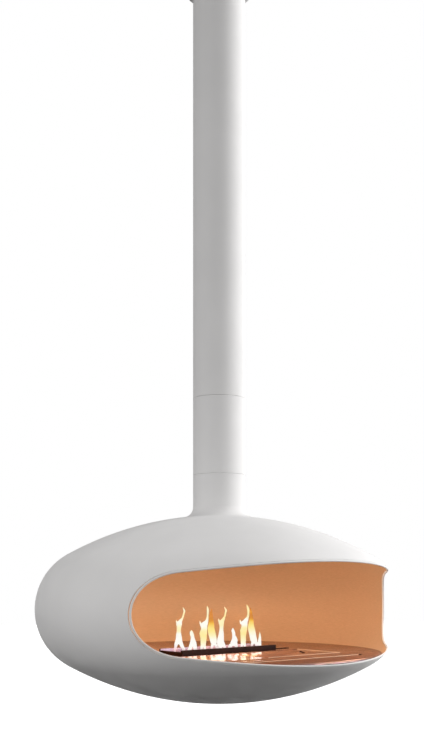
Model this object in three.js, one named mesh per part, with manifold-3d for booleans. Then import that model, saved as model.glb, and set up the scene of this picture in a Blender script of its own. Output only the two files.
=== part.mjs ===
// A hanging fireplace: a round steel hearth on a tube below the ceiling, open at the front,
// turning on a ball bearing in the tube, with a liquid fuel burner let into its floor.
// Millimetres, +Z up. The origin is the centre of the ceiling plate's top face, and the opening
// faces -Y. The hearth's own pieces are drawn about the level of its widest circle.
import * as THREE from "three";
import { mergeVertices } from "three/addons/utils/BufferGeometryUtils.js";
import Module from "manifold-3d";

// ---------------------------------------------------------------- driving dimensions
const seatGap = 0.3; // what a seated piece keeps from its seat
const runGap = 1; // what a moving piece keeps from what it passes
const roundSides = 36; // facets of the hearth's round pieces
const tubeSides = 32; // facets of the tubes and of what fits in them
const bearingSides = 24;
const screwSides = 8;

const ceilingToHearth = 2200; // ceiling to the hearth's widest circle
const upperSeamRise = 728; // swivel seam above the widest circle
const lowerSeamRise = 463; // neck seam above the widest circle
const upperSeamGap = 2;
const lowerSeamGap = 1.5;
const seamChamfer = 0.8;

const tube = { radius: 90, wall: 3 };

const plate = { thickness: 8, lipDepth: 26, lipWall: 3 };
const spigot = { wall: 6, length: 58, fit: 0.6 };
const anchor = { count: 4, lipGap: 12.4, shank: 6, length: 64, head: 10, headHeight: 8 };
const rose = { reach: 32, wall: 2, height: 54, edge: 6, fit: 0.6, tubeFit: 1 }; // reach: past the tube
const roseScrew = { count: 3, drop: 19, shank: 2, length: 9, head: 4, headHeight: 2.2 };
const tubeScrew = { count: 4, drop: 40, shank: 3, length: 12, head: 5.5, headHeight: 3 };
const holeFit = 0.6; // radial clearance of a screw in its hole

const bearing = {
  ballRadius: 6,
  balls: 9,
  circle: 38,
  halfWidth: 10,
  raceHeight: 8,
  grooveDepth: 3,
  grooveFit: 0.8,
  cageHalfWidth: 7,
  cageThickness: 2.4,
};
const bearingSeat = { thickness: 16, rise: 24 }; // rise: underside above the swivel seam
const bush = { wall: 4.5, flange: 32, flangeHeight: 3 };
const spindle = { radius: 22, fit: 0.4, flangeDrop: 4, flangeHeight: 12, end: 6 };
const spindleNut = { corner: 38, height: 18 };
const innerFlange = { bore: 58, height: 8 };
const flangeBolt = { count: 3, circle: 73, shank: 5, length: 18, head: 9, headHeight: 7 };

const hearth = { radius: 630, halfHeight: 323, endRadius: 215, neckFillet: 38 };
const shellWall = 3;
const linerGap = 1;
const linerWall = 2;
const opening = { sideMargin: 59.6, halfHeight: 159.2, endRadius: 127 };
const rim = { radius: 3, tail: 3, fit: 0.5, steps: 4 };
const landing = { hole: 100, radius: 122 }; // flat ring on top of the liner, for the cover
const cover = { radius: 118, thickness: 2 };
const coverScrew = { count: 3, circle: 109, shank: 2.5, length: 8, head: 5, headHeight: 3 };

const floorDrop = 147; // floor's top face below the widest circle
const floorThickness = 4;
const floorRing = { width: 52, thickness: 3 };
const floorScrew = { count: 4, inset: 28, shank: 2.5, length: 9, head: 5, headHeight: 2.5 };
const slit = { inset: 122.3, land: 111, width: 2, reliefHole: 4 }; // lets the hot floor stretch

const burner = { x: -49.5, y: -57, halfLength: 210.5, halfWidth: 61 };
const frameBar = { width: 8, height: 20, endHeight: 14 };
const tray = { wall: 1.5, depth: 60, flangeWidth: 5, flangeHeight: 2 };
const deck = { drop: 4, thickness: 2 };
const window_ = { count: 8, length: 22, halfWidth: 13, web: 23, margin: 4 };
const shutter = { sideGap: 0.6, thickness: 2, tongueHalfWidth: 6 };
const rail = { width: 10, lip: 4, lipHeight: 2, inset: 4 };
const tab = { radius: 4, rise: 5, inset: 8.5, slotFit: 1, slotEnd: 277 };
const wick = { endGap: 12, halfWidth: 28, topGap: 1.5 };

const hatch = { left: -80, right: 252, slitGap: 108, edgeGap: 1.5 };
const hinge = { y: -126, barrel: 3.5, pin: 1.6, fit: 0.3, knuckles: 5, knuckleGap: 0.5 };
const fingerHole = { radius: 4.5, places: [[188, -213], [168, -243]] };
const tank = { sideGap: 21, endGap: 14, top: 28, shellGap: 7.4, wall: 1.5 };
const bracket = { halfWidth: 25, thickness: 2, hang: 40, lap: 22 };
const pipe = { x: 0, drop: 50, radius: 5, wall: 1.5, reach: 4, fit: 0.4 };
const neck = { x: 86, y: -228, radius: 24, wall: 2, height: 15 };
const cap = { wall: 3.4, fit: 0.6, rise: 5, flutes: 14, fluteDepth: 1.5, skirt: 13 };
const capSeal = { thickness: 0.7 };

// ---------------------------------------------------------------- finishes
const finish = {
  white: { color: 0xe4e1df, roughness: 0.42, metalness: 0 },
  copper: { color: 0xc98a58, roughness: 0.38, metalness: 0.55 },
  floor: { color: 0x8c5a3e, roughness: 0.16, metalness: 0.6 },
  dark: { color: 0x2e211d, roughness: 0.5, metalness: 0.2 },
  steel: { color: 0xa8a9aa, roughness: 0.35, metalness: 0.9 },
  zinc: { color: 0xb9bbb8, roughness: 0.45, metalness: 0.8 },
  bronze: { color: 0x9a7440, roughness: 0.4, metalness: 0.8 },
  ceramic: { color: 0xe8e0d2, roughness: 0.95, metalness: 0 },
  rubber: { color: 0x1b1b1c, roughness: 0.8, metalness: 0 },
};

// ---------------------------------------------------------------- solids
const wasm = await Module();
wasm.setup();

function solid(geometry) {
  const loose = geometry.index ? geometry.toNonIndexed() : geometry.clone();
  loose.deleteAttribute("normal");
  loose.deleteAttribute("uv");
  const shared = mergeVertices(loose, 1e-4);
  const corners = shared.index.array;
  const kept = [];
  for (let i = 0; i < corners.length; i += 3) {
    const [a, b, c] = corners.slice(i, i + 3);
    if (a !== b && b !== c && c !== a) kept.push(a, b, c);
  }
  return new wasm.Manifold(
    new wasm.Mesh({
      numProp: 3,
      vertProperties: shared.attributes.position.array,
      triVerts: new Uint32Array(kept),
    }),
  );
}

function geometryOf(body) {
  const mesh = body.getMesh();
  const geometry = new THREE.BufferGeometry();
  geometry.setAttribute("position", new THREE.BufferAttribute(mesh.vertProperties, 3));
  geometry.setIndex(new THREE.BufferAttribute(mesh.triVerts, 1));
  geometry.computeVertexNormals();
  return geometry;
}

function cut(from, ...geometries) {
  return geometries.reduce((body, g) => body.subtract(solid(g)), from);
}

function join(...geometries) {
  return geometries.map(solid).reduce((a, b) => a.add(b));
}

// A profile of [radius, height] points turned about +Z. It is closed, or ends on the axis.
function turned(profile, sides) {
  const onAxis = profile[0][0] === 0 && profile.at(-1)[0] === 0;
  const loop = onAxis ? profile : [...profile, profile[0]];
  let area = 0;
  loop.forEach(([r, z], i) => {
    const [nextR, nextZ] = loop[(i + 1) % loop.length];
    area += r * nextZ - nextR * z;
  });
  const points = loop.map(([r, z]) => new THREE.Vector2(r, z));
  if (area < 0) points.reverse();
  return new THREE.LatheGeometry(points, sides).rotateX(Math.PI / 2);
}

function ringProfile(inner, outer, bottom, top) {
  return [[inner, bottom], [outer, bottom], [outer, top], [inner, top]];
}

// An upright cylinder from one height to another.
function rod(radius, bottom, top, sides = screwSides) {
  return turned([[0, bottom], [radius, bottom], [radius, top], [0, top]], sides);
}

function box(x0, x1, y0, y1, z0, z1) {
  return new THREE.BoxGeometry(x1 - x0, y1 - y0, z1 - z0).translate(
    (x0 + x1) / 2,
    (y0 + y1) / 2,
    (z0 + z1) / 2,
  );
}

function arc(centreR, centreZ, radius, from, to, steps) {
  return Array.from({ length: steps + 1 }, (_, i) => {
    const angle = from + ((to - from) * i) / steps;
    return [centreR + radius * Math.cos(angle), centreZ + radius * Math.sin(angle)];
  });
}

// ---------------------------------------------------------------- the assembly
const root = new THREE.Group();
const ceilingGroup = new THREE.Group();
const hearthGroup = new THREE.Group();
hearthGroup.position.z = -ceilingToHearth;
root.add(ceilingGroup, hearthGroup);

function piece(group, name, shape, look) {
  const geometry = shape.isBufferGeometry ? shape : geometryOf(shape);
  const mesh = new THREE.Mesh(geometry, new THREE.MeshStandardMaterial(look));
  mesh.name = name;
  group.add(mesh);
  return mesh;
}

// Calls make(turn, number) for each place of a ring of equal pieces.
function around(count, start, make) {
  for (let i = 0; i < count; i += 1) make(start + (i * 2 * Math.PI) / count, i + 1);
}

// A screw with its head's seat at z = 0 and its shank below, as a turned piece.
function screwShape({ shank, length, head, headHeight }) {
  const crown = 0.6;
  return turned(
    [
      [0, -length],
      [shank, -length],
      [shank, 0],
      [head, 0],
      [head, headHeight * crown],
      [head * crown, headHeight],
      [0, headHeight],
    ],
    screwSides,
  );
}

// A hexagon bolt: its head's seat at z = 0, the head above and the shank below.
function boltShape({ shank, length, head, headHeight }) {
  return join(rod(shank, -length, headHeight / 2), rod(head, 0, headHeight, 6));
}

// ---------------------------------------------------------------- ceiling fixing
const tubeBore = tube.radius - tube.wall;
const roseRadius = tube.radius + rose.reach;
const plateRadius = roseRadius - rose.wall - rose.fit;
const lipInner = plateRadius - plate.lipWall;
const anchorCircle = lipInner - anchor.lipGap;
const spigotRadius = tubeBore - spigot.fit;
const spigotEnd = -plate.thickness - spigot.length;

function ceilingPlate() {
  const spigotBore = spigotRadius - spigot.wall;
  let body = solid(
    turned(
      [
        [0, 0],
        [plateRadius, 0],
        [plateRadius, -plate.lipDepth],
        [lipInner, -plate.lipDepth],
        [lipInner, -plate.thickness],
        [spigotRadius, -plate.thickness],
        [spigotRadius, spigotEnd],
        [spigotBore, spigotEnd],
        [spigotBore, -plate.thickness],
        [0, -plate.thickness],
      ],
      tubeSides,
    ),
  );
  const anchorHole = rod(anchor.shank + holeFit, -plate.thickness - 1, 1);
  around(anchor.count, Math.PI / 4, (turn) => {
    body = cut(body, anchorHole.clone().translate(anchorCircle, 0, 0).rotateZ(turn));
  });
  around(roseScrew.count, Math.PI / 6, (turn) => {
    body = cut(body, sideHole(roseScrew, roseRadius, roseScrew.drop, turn));
  });
  around(tubeScrew.count, 0, (turn) => {
    body = cut(body, sideHole(tubeScrew, tube.radius, tubeScrew.drop, turn));
  });
  return body;
}

// The hole of a screw that points at the axis, with its head on a wall of the given radius.
function sideHole(screw, wallRadius, drop, turn) {
  const reach = screw.length + 2;
  return rod(screw.shank + holeFit, -reach, 2)
    .rotateY(Math.PI / 2)
    .translate(wallRadius, 0, -drop)
    .rotateZ(turn);
}

function sideScrew(group, name, screw, wallRadius, drop, turn) {
  const turnedGroup = new THREE.Group();
  turnedGroup.rotation.z = turn;
  group.add(turnedGroup);
  const mesh = piece(turnedGroup, name, screwShape(screw), finish.zinc);
  mesh.rotation.y = Math.PI / 2;
  mesh.position.set(wallRadius + seatGap, 0, -drop);
}

function roseShell() {
  const inner = roseRadius - rose.wall;
  const hole = tube.radius + rose.tubeFit;
  const bendR = roseRadius - rose.edge;
  const bendZ = -rose.height + rose.edge;
  let body = solid(
    turned(
      [
        [inner, -seatGap],
        [roseRadius, -seatGap],
        ...arc(bendR, bendZ, rose.edge, 0, -Math.PI / 2, 3),
        [hole, -rose.height],
        [hole, -rose.height + rose.wall],
        ...arc(bendR, bendZ, rose.edge - rose.wall, -Math.PI / 2, 0, 3),
      ],
      tubeSides,
    ),
  );
  around(roseScrew.count, Math.PI / 6, (turn) => {
    body = cut(body, sideHole(roseScrew, roseRadius, roseScrew.drop, turn));
  });
  return body;
}

function hangerTube() {
  const top = -plate.thickness - seatGap;
  const bottom = upperSeamRise - ceilingToHearth + upperSeamGap / 2;
  let body = solid(
    turned(
      [
        [tubeBore, top],
        [tube.radius, top],
        [tube.radius, bottom + seamChamfer],
        [tube.radius - seamChamfer, bottom],
        [tubeBore, bottom],
      ],
      tubeSides,
    ),
  );
  around(tubeScrew.count, 0, (turn) => {
    body = cut(body, sideHole(tubeScrew, tube.radius, tubeScrew.drop, turn));
  });
  return body;
}

piece(ceilingGroup, "ceiling_plate", ceilingPlate(), finish.steel);
around(anchor.count, Math.PI / 4, (turn, number) => {
  const bolt = boltShape(anchor);
  const mesh = piece(ceilingGroup, `anchor_bolt_${number}`, bolt, finish.zinc);
  mesh.rotation.x = Math.PI;
  mesh.position.set(
    anchorCircle * Math.cos(turn),
    anchorCircle * Math.sin(turn),
    -plate.thickness - seatGap,
  );
});
piece(ceilingGroup, "ceiling_rose", roseShell(), finish.white);
around(roseScrew.count, Math.PI / 6, (turn, number) => {
  sideScrew(ceilingGroup, `rose_screw_${number}`, roseScrew, roseRadius, roseScrew.drop, turn);
});
piece(ceilingGroup, "hanger_tube", hangerTube(), finish.white);
around(tubeScrew.count, 0, (turn, number) => {
  sideScrew(ceilingGroup, `tube_screw_${number}`, tubeScrew, tube.radius, tubeScrew.drop, turn);
});

// ---------------------------------------------------------------- swivel bearing
const swivelSeam = upperSeamRise - ceilingToHearth;
const seatBottom = swivelSeam + bearingSeat.rise;
const seatTop = seatBottom + bearingSeat.thickness;
const lowerRaceTop = seatTop + seatGap + bearing.raceHeight;
const ballHeight = lowerRaceTop - bearing.grooveDepth + bearing.grooveFit + bearing.ballRadius;
const upperRaceBottom = 2 * ballHeight - lowerRaceTop;
const nutBottom = upperRaceBottom + bearing.raceHeight + seatGap;
const spindleTop = nutBottom + spindleNut.height + spindle.end;
const bushBore = spindle.radius + spindle.fit;
const bushRadius = bushBore + bush.wall;
const spindleFlangeTop = swivelSeam - spindle.flangeDrop;
const spindleFlangeBottom = spindleFlangeTop - spindle.flangeHeight;

// One race, drawn as the lower one: a flat ring with a groove that the balls roll in.
function raceShape(flip) {
  const groove = bearing.ballRadius + bearing.grooveFit;
  const depth = ballHeight - lowerRaceTop;
  const spread = Math.acos(depth / groove);
  const down = -Math.PI / 2;
  const profile = [
    [bearing.circle - bearing.halfWidth, lowerRaceTop - bearing.raceHeight],
    [bearing.circle + bearing.halfWidth, lowerRaceTop - bearing.raceHeight],
    [bearing.circle + bearing.halfWidth, lowerRaceTop],
    ...arc(bearing.circle, ballHeight, groove, down + spread, down - spread, 4),
    [bearing.circle - bearing.halfWidth, lowerRaceTop],
  ];
  const heights = flip ? profile.map(([r, z]) => [r, 2 * ballHeight - z]) : profile;
  return turned(heights, bearingSides);
}

function ballCage() {
  const half = bearing.cageThickness / 2;
  let body = solid(
    turned(
      ringProfile(
        bearing.circle - bearing.cageHalfWidth,
        bearing.circle + bearing.cageHalfWidth,
        ballHeight - half,
        ballHeight + half,
      ),
      bearingSides,
    ),
  );
  const ball = new THREE.SphereGeometry(bearing.ballRadius, 8, 5).rotateX(Math.PI / 2);
  around(bearing.balls, 0, (turn) => {
    body = body.add(solid(ball.clone().translate(bearing.circle, 0, ballHeight).rotateZ(turn)));
  });
  return body;
}

function spindleShape() {
  let body = solid(
    turned(
      [
        [0, spindleFlangeBottom],
        [spigotRadius, spindleFlangeBottom],
        [spigotRadius, spindleFlangeTop],
        [spindle.radius, spindleFlangeTop],
        [spindle.radius, spindleTop],
        [0, spindleTop],
      ],
      tubeSides,
    ),
  );
  around(flangeBolt.count, Math.PI / 4, (turn) => {
    const hole = rod(flangeBolt.shank + holeFit, spindleFlangeBottom - 1, spindleFlangeTop + 1);
    body = cut(body, hole.translate(flangeBolt.circle, 0, 0).rotateZ(turn));
  });
  return body;
}

function nutShape() {
  const hexagon = rod(spindleNut.corner, nutBottom, nutBottom + spindleNut.height, 6);
  const bore = rod(bushBore, nutBottom - 1, spindleTop, bearingSides);
  return cut(solid(hexagon), bore);
}

const bushShape = turned(
  [
    [bushBore, seatBottom - seatGap - bush.flangeHeight],
    [bush.flange, seatBottom - seatGap - bush.flangeHeight],
    [bush.flange, seatBottom - seatGap],
    [bushRadius, seatBottom - seatGap],
    [bushRadius, seatTop],
    [bushBore, seatTop],
  ],
  bearingSides,
);
const seatShape = turned(
  ringProfile(bushRadius + seatGap, tubeBore - seatGap, seatBottom, seatTop),
  tubeSides,
);

piece(ceilingGroup, "bearing_seat", seatShape, finish.steel);
piece(ceilingGroup, "spindle_bush", bushShape, finish.bronze);
piece(ceilingGroup, "lower_race", raceShape(false), finish.steel);
piece(ceilingGroup, "ball_cage", ballCage(), finish.steel);
piece(ceilingGroup, "upper_race", raceShape(true), finish.steel);
piece(ceilingGroup, "spindle_nut", nutShape(), finish.zinc);
piece(ceilingGroup, "swivel_spindle", spindleShape(), finish.steel);

// ---------------------------------------------------------------- swivel tube
const tubeFlangeTop = spindleFlangeBottom - seatGap;
const neckSeam = lowerSeamRise - ceilingToHearth;

function swivelTube() {
  const top = swivelSeam - upperSeamGap / 2;
  const bottom = neckSeam + lowerSeamGap / 2;
  let body = solid(
    turned(
      [
        [tubeBore, top],
        [tube.radius - seamChamfer, top],
        [tube.radius, top - seamChamfer],
        [tube.radius, bottom + seamChamfer],
        [tube.radius - seamChamfer, bottom],
        [innerFlange.bore, bottom],
        [innerFlange.bore, bottom + innerFlange.height],
        [tubeBore, bottom + innerFlange.height],
        [tubeBore, tubeFlangeTop - innerFlange.height],
        [innerFlange.bore, tubeFlangeTop - innerFlange.height],
        [innerFlange.bore, tubeFlangeTop],
        [tubeBore, tubeFlangeTop],
      ],
      tubeSides,
    ),
  );
  around(flangeBolt.count, Math.PI / 4, (turn) => {
    for (const height of [tubeFlangeTop, bottom]) {
      const reach = innerFlange.height + 1;
      const hole = rod(flangeBolt.shank + holeFit, height - reach, height + reach);
      body = cut(body, hole.translate(flangeBolt.circle, 0, 0).rotateZ(turn));
    }
  });
  return body;
}

function flangeBolts(name, seat) {
  around(flangeBolt.count, Math.PI / 4, (turn, number) => {
    const shape = boltShape(flangeBolt);
    const mesh = piece(ceilingGroup, `${name}_${number}`, shape, finish.zinc);
    mesh.rotation.x = Math.PI;
    mesh.position.set(
      flangeBolt.circle * Math.cos(turn),
      flangeBolt.circle * Math.sin(turn),
      seat - seatGap,
    );
  });
}

const neckTop = neckSeam - lowerSeamGap / 2;
piece(ceilingGroup, "swivel_tube", swivelTube(), finish.white);
flangeBolts("flange_bolt", tubeFlangeTop - innerFlange.height);
flangeBolts("neck_bolt", neckTop - innerFlange.height);

// ---------------------------------------------------------------- hearth body
// The hearth's side view is an oval of four arcs: two end arcs, and two large ones that
// meet them smoothly. An offset moves every arc inwards and keeps its centre.
const endCentre = hearth.radius - hearth.endRadius;
const largeRadius =
  (endCentre ** 2 + hearth.halfHeight ** 2 - hearth.endRadius ** 2) /
  (2 * (hearth.halfHeight - hearth.endRadius));
const largeDrop = largeRadius - hearth.halfHeight; // a large arc's centre beyond the axis plane
const endAngle = Math.atan2(largeDrop, endCentre); // where end and large arcs meet

const filletR = tube.radius + hearth.neckFillet;
const filletZ = Math.sqrt((largeRadius + hearth.neckFillet) ** 2 - filletR ** 2) - largeDrop;
const filletAngle = Math.atan2(filletZ + largeDrop, filletR);

// The neck, fillet, dome and side of the hearth, from the neck down to a given end.
function hearthLine(offset) {
  return [
    ...arc(filletR, filletZ, hearth.neckFillet + offset, Math.PI, Math.PI + filletAngle, 3),
    ...arc(0, -largeDrop, largeRadius - offset, filletAngle, endAngle, 3).slice(1),
    ...sideArc(offset, endAngle, -endAngle, 8).slice(1),
    ...arc(0, largeDrop, largeRadius - offset, -endAngle, -Math.PI / 2, 4).slice(1),
  ];
}

function sideArc(offset, from, to, steps) {
  return arc(endCentre, 0, hearth.endRadius - offset, from, to, steps);
}

// Radius of the side at a height, on the surface that lies offset inside the outer face.
function sideRadius(height, offset) {
  return endCentre + Math.sqrt((hearth.endRadius - offset) ** 2 - height ** 2);
}

// Where a drawn line of [radius, height] points crosses a value of one of the two, counted
// from its lower end, which is where the floor's pieces stand.
function crossing(line, known, value) {
  const wanted = 1 - known;
  for (let i = line.length - 1; i > 0; i -= 1) {
    const [from, to] = [line[i], line[i - 1]];
    const part = (value - from[known]) / (to[known] - from[known]);
    if (part >= 0 && part <= 1) return from[wanted] + part * (to[wanted] - from[wanted]);
  }
  throw new Error(`no point of the line lies at ${value}`);
}

const radiusAt = (line, height) => crossing(line, 1, height);
const heightAt = (line, radius) => crossing(line, 0, radius);

// Height of the dome at a radius, on the surface that lies offset inside the outer face.
function domeHeight(radius, offset) {
  return Math.sqrt((largeRadius - offset) ** 2 - radius ** 2) - largeDrop;
}

const linerOuter = shellWall + linerGap;
const linerInner = linerOuter + linerWall;

// The opening seen from the front, also an oval of four arcs, as [x, z] points.
function openingLine() {
  const centre = hearth.radius - opening.sideMargin - opening.endRadius;
  const large =
    (centre ** 2 + opening.halfHeight ** 2 - opening.endRadius ** 2) /
    (2 * (opening.halfHeight - opening.endRadius));
  const drop = large - opening.halfHeight;
  const meet = Math.atan2(drop, centre);
  const half = Math.PI / 2;
  const endSteps = 10;
  const largeSteps = 10;
  return [
    ...arc(centre, 0, opening.endRadius, -meet, meet, endSteps).slice(1),
    ...arc(0, -drop, large, meet, 2 * half - meet, largeSteps).slice(1),
    ...arc(-centre, 0, opening.endRadius, 2 * half - meet, 2 * half + meet, endSteps).slice(1),
    ...arc(0, drop, large, 2 * half + meet, 4 * half - meet, largeSteps).slice(1),
  ];
}

const wallDepth = linerInner; // outer face of the shell to the inner face of the liner

// The opening's edge in the middle of the wall. At each point, out is square to the wall and
// across lies in the wall, pointing away from the opening.
function openingEdge() {
  const line = openingLine().map(([x, z]) => {
    const reach = sideRadius(z, wallDepth / 2);
    return new THREE.Vector3(x, -Math.sqrt(reach ** 2 - x ** 2), z);
  });
  return line.map((point, i) => {
    const along = line[(i + 1) % line.length].clone().sub(line.at(i - 1)).normalize();
    const level = Math.hypot(point.x, point.y);
    const out = new THREE.Vector3(point.x / level, point.y / level, 0);
    out.multiplyScalar(level - endCentre);
    out.z = point.z;
    out.addScaledVector(along, -out.dot(along)).normalize();
    return { point, out, across: along.clone().cross(out) };
  });
}

// The faces of a loop of equal rings of corners.
function ringFaces(rings, sides) {
  const faces = [];
  for (let ring = 0; ring < rings; ring += 1) {
    const here = ring * sides;
    const there = ((ring + 1) % rings) * sides;
    for (let side = 0; side < sides; side += 1) {
      const next = (side + 1) % sides;
      faces.push(here + side, there + next, there + side);
      faces.push(here + side, here + next, there + next);
    }
  }
  return faces;
}

function meshOf(corners, faces) {
  const geometry = new THREE.BufferGeometry();
  const numbers = corners.flatMap((corner) => corner.toArray());
  geometry.setAttribute("position", new THREE.Float32BufferAttribute(numbers, 3));
  geometry.setIndex(faces);
  return geometry;
}

function edgeCorner({ point, out, across }, outwards, away) {
  return point.clone().addScaledVector(out, outwards).addScaledVector(across, away);
}

// The rim closes the gap between shell and liner: flush with both, and round at the opening.
function openingRim() {
  const half = wallDepth / 2;
  const round = arc(0, 0, rim.radius, Math.PI / 2, -Math.PI / 2, rim.steps);
  const section = [[-half, rim.tail], ...round.map(([away, out]) => [-out, -away])];
  section.push([half, rim.tail]);
  const edge = openingEdge();
  const corners = edge.flatMap((place) =>
    section.map(([outwards, away]) => edgeCorner(place, outwards, away)),
  );
  return meshOf(corners, ringFaces(edge.length, section.length));
}

// What the opening takes out of the walls, cut square through them: bands round the edge
// that are closed by a point inside the hearth and one far in front of it.
function openingCut() {
  const edge = openingEdge();
  const count = edge.length;
  const away = rim.tail + rim.fit;
  const half = wallDepth / 2;
  const reach = 3 * wallDepth;
  const levels = [-reach, -half, half, reach];
  const corners = levels.flatMap((out) => edge.map((place) => edgeCorner(place, out, away)));
  const inside = corners.push(new THREE.Vector3(0, -endCentre / 2, 0)) - 1;
  const infront = corners.push(new THREE.Vector3(0, -3 * hearth.radius, 0)) - 1;
  const last = (levels.length - 1) * count;
  const faces = [];
  for (let i = 0; i < count; i += 1) {
    const next = (i + 1) % count;
    faces.push(inside, next, i, infront, last + i, last + next);
    for (let low = 0; low < last; low += count) {
      const high = low + count;
      faces.push(low + i, low + next, high + i, low + next, high + next, high + i);
    }
  }
  return solid(meshOf(corners, faces));
}

const openingBody = openingCut();

function hearthShell() {
  const top = neckTop + ceilingToHearth;
  const under = top - innerFlange.height;
  let body = solid(
    turned(
      [
        [innerFlange.bore, top],
        [tube.radius - seamChamfer, top],
        [tube.radius, top - seamChamfer],
        ...hearthLine(0).slice(0, -1),
        [0, -hearth.halfHeight],
        [0, -hearth.halfHeight + shellWall],
        ...hearthLine(shellWall).slice(0, -1).reverse(),
        [tubeBore, under],
        [innerFlange.bore, under],
      ],
      roundSides,
    ),
  );
  around(flangeBolt.count, Math.PI / 4, (turn) => {
    const hole = rod(flangeBolt.shank + holeFit, under - 1, top + 1);
    body = cut(body, hole.translate(flangeBolt.circle, 0, 0).rotateZ(turn));
  });
  return body.subtract(openingBody);
}

// The liner's dome and side, from the hole at its top down to its edge below the floor. Its
// facets lie parallel to the shell's.
function linerLine(offset) {
  const from = Math.acos(landing.radius / (largeRadius - offset));
  return [
    [landing.hole, domeHeight(landing.radius, offset)],
    ...arc(0, -largeDrop, largeRadius - offset, from, endAngle, 3),
    ...sideArc(offset, endAngle, -endAngle, 8).slice(1),
  ];
}

function hearthLiner() {
  const profile = [...linerLine(linerOuter), ...linerLine(linerInner).reverse()];
  let body = solid(turned(profile, roundSides));
  around(coverScrew.count, Math.PI / 2, (turn) => {
    body = cut(body, coverHole(turn));
  });
  return body.subtract(openingBody);
}

// The cover under the dome's hole, which hides the neck bolts.
const coverTop = domeHeight(landing.radius, linerInner) - seatGap;
const coverBottom = coverTop - cover.thickness;

function coverHole(turn) {
  const hole = rod(coverScrew.shank + holeFit, -coverScrew.length, coverScrew.length);
  return hole.translate(coverScrew.circle, 0, coverTop).rotateZ(turn);
}

function accessCover() {
  let body = solid(rod(cover.radius, coverBottom, coverTop, bearingSides));
  around(coverScrew.count, Math.PI / 2, (turn) => {
    body = cut(body, coverHole(turn));
  });
  return body;
}

piece(hearthGroup, "hearth_shell", hearthShell(), finish.white);
piece(hearthGroup, "hearth_liner", hearthLiner(), finish.copper);
piece(hearthGroup, "opening_rim", openingRim(), finish.white);
piece(hearthGroup, "access_cover", accessCover(), finish.copper);
around(coverScrew.count, Math.PI / 2, (turn, number) => {
  const shape = screwShape(coverScrew);
  const mesh = piece(hearthGroup, `cover_screw_${number}`, shape, finish.zinc);
  mesh.rotation.x = Math.PI;
  mesh.position.set(
    coverScrew.circle * Math.cos(turn),
    coverScrew.circle * Math.sin(turn),
    coverBottom - seatGap,
  );
});

// ---------------------------------------------------------------- floor
const floorTop = -floorDrop;
const floorBottom = floorTop - floorThickness;
const linerFace = linerLine(linerInner);
const floorRadius = radiusAt(linerFace, floorBottom) - 2 * seatGap;
const slitY = slit.inset - floorRadius;
const slitEnd = Math.sqrt(floorRadius ** 2 - slitY ** 2) - slit.land;
const hatchFront = slitY + hatch.slitGap;
const hingeZ = floorTop - floorThickness / 2;
const hatchBack = hinge.y + hinge.barrel + runGap;
const knuckleLength = (hatch.right - hatch.left) / hinge.knuckles;

// The hinge's barrels: every other one belongs to the hatch, the rest to the floor.
function knuckles(first, plateSide) {
  const barrels = [];
  for (let i = first; i < hinge.knuckles; i += 2) {
    const from = hatch.left + i * knuckleLength + hinge.knuckleGap / 2;
    const to = from + knuckleLength - hinge.knuckleGap;
    barrels.push(
      rod(hinge.barrel, 0, to - from, 12).rotateY(Math.PI / 2).translate(from, hinge.y, hingeZ),
      box(
        from,
        to,
        Math.min(hinge.y, plateSide),
        Math.max(hinge.y, plateSide),
        floorBottom,
        floorTop,
      ),
    );
  }
  return barrels.map(solid).reduce((a, b) => a.add(b));
}

const pinBore = rod(hinge.pin + hinge.fit, hatch.left - 5, hatch.right + 5)
  .rotateY(Math.PI / 2)
  .translate(0, hinge.y, hingeZ);

function floorRingShape() {
  const top = floorBottom - seatGap;
  const under = top - floorRing.thickness;
  const outer = radiusAt(linerFace, under) - 2 * seatGap;
  const inner = outer - floorRing.width;
  const legOuter = inner + floorRing.thickness;
  const legEnd = heightAt(hearthLine(shellWall), legOuter) + 2 * seatGap;
  let body = solid(
    turned(
      [
        [inner, top],
        [outer, top],
        [outer, under],
        [legOuter, under],
        [legOuter, legEnd],
        [inner, legEnd],
      ],
      roundSides,
    ),
  );
  around(floorScrew.count, Math.PI / 4, (turn) => {
    body = cut(body, floorHole(turn));
  });
  return body;
}

const floorScrewCircle = floorRadius - floorScrew.inset;

function countersunk({ shank, length, head, headHeight }, grow) {
  return turned(
    [
      [0, -length - grow],
      [shank + grow, -length - grow],
      [shank + grow, -headHeight - grow],
      [head + grow, 0],
      [0, 0],
    ],
    screwSides,
  );
}

function floorHole(turn) {
  const hole = join(
    countersunk(floorScrew, holeFit),
    rod(floorScrew.head + holeFit, -0.1, 1),
  );
  return geometryOf(hole).translate(floorScrewCircle, 0, floorTop).rotateZ(turn);
}

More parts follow.
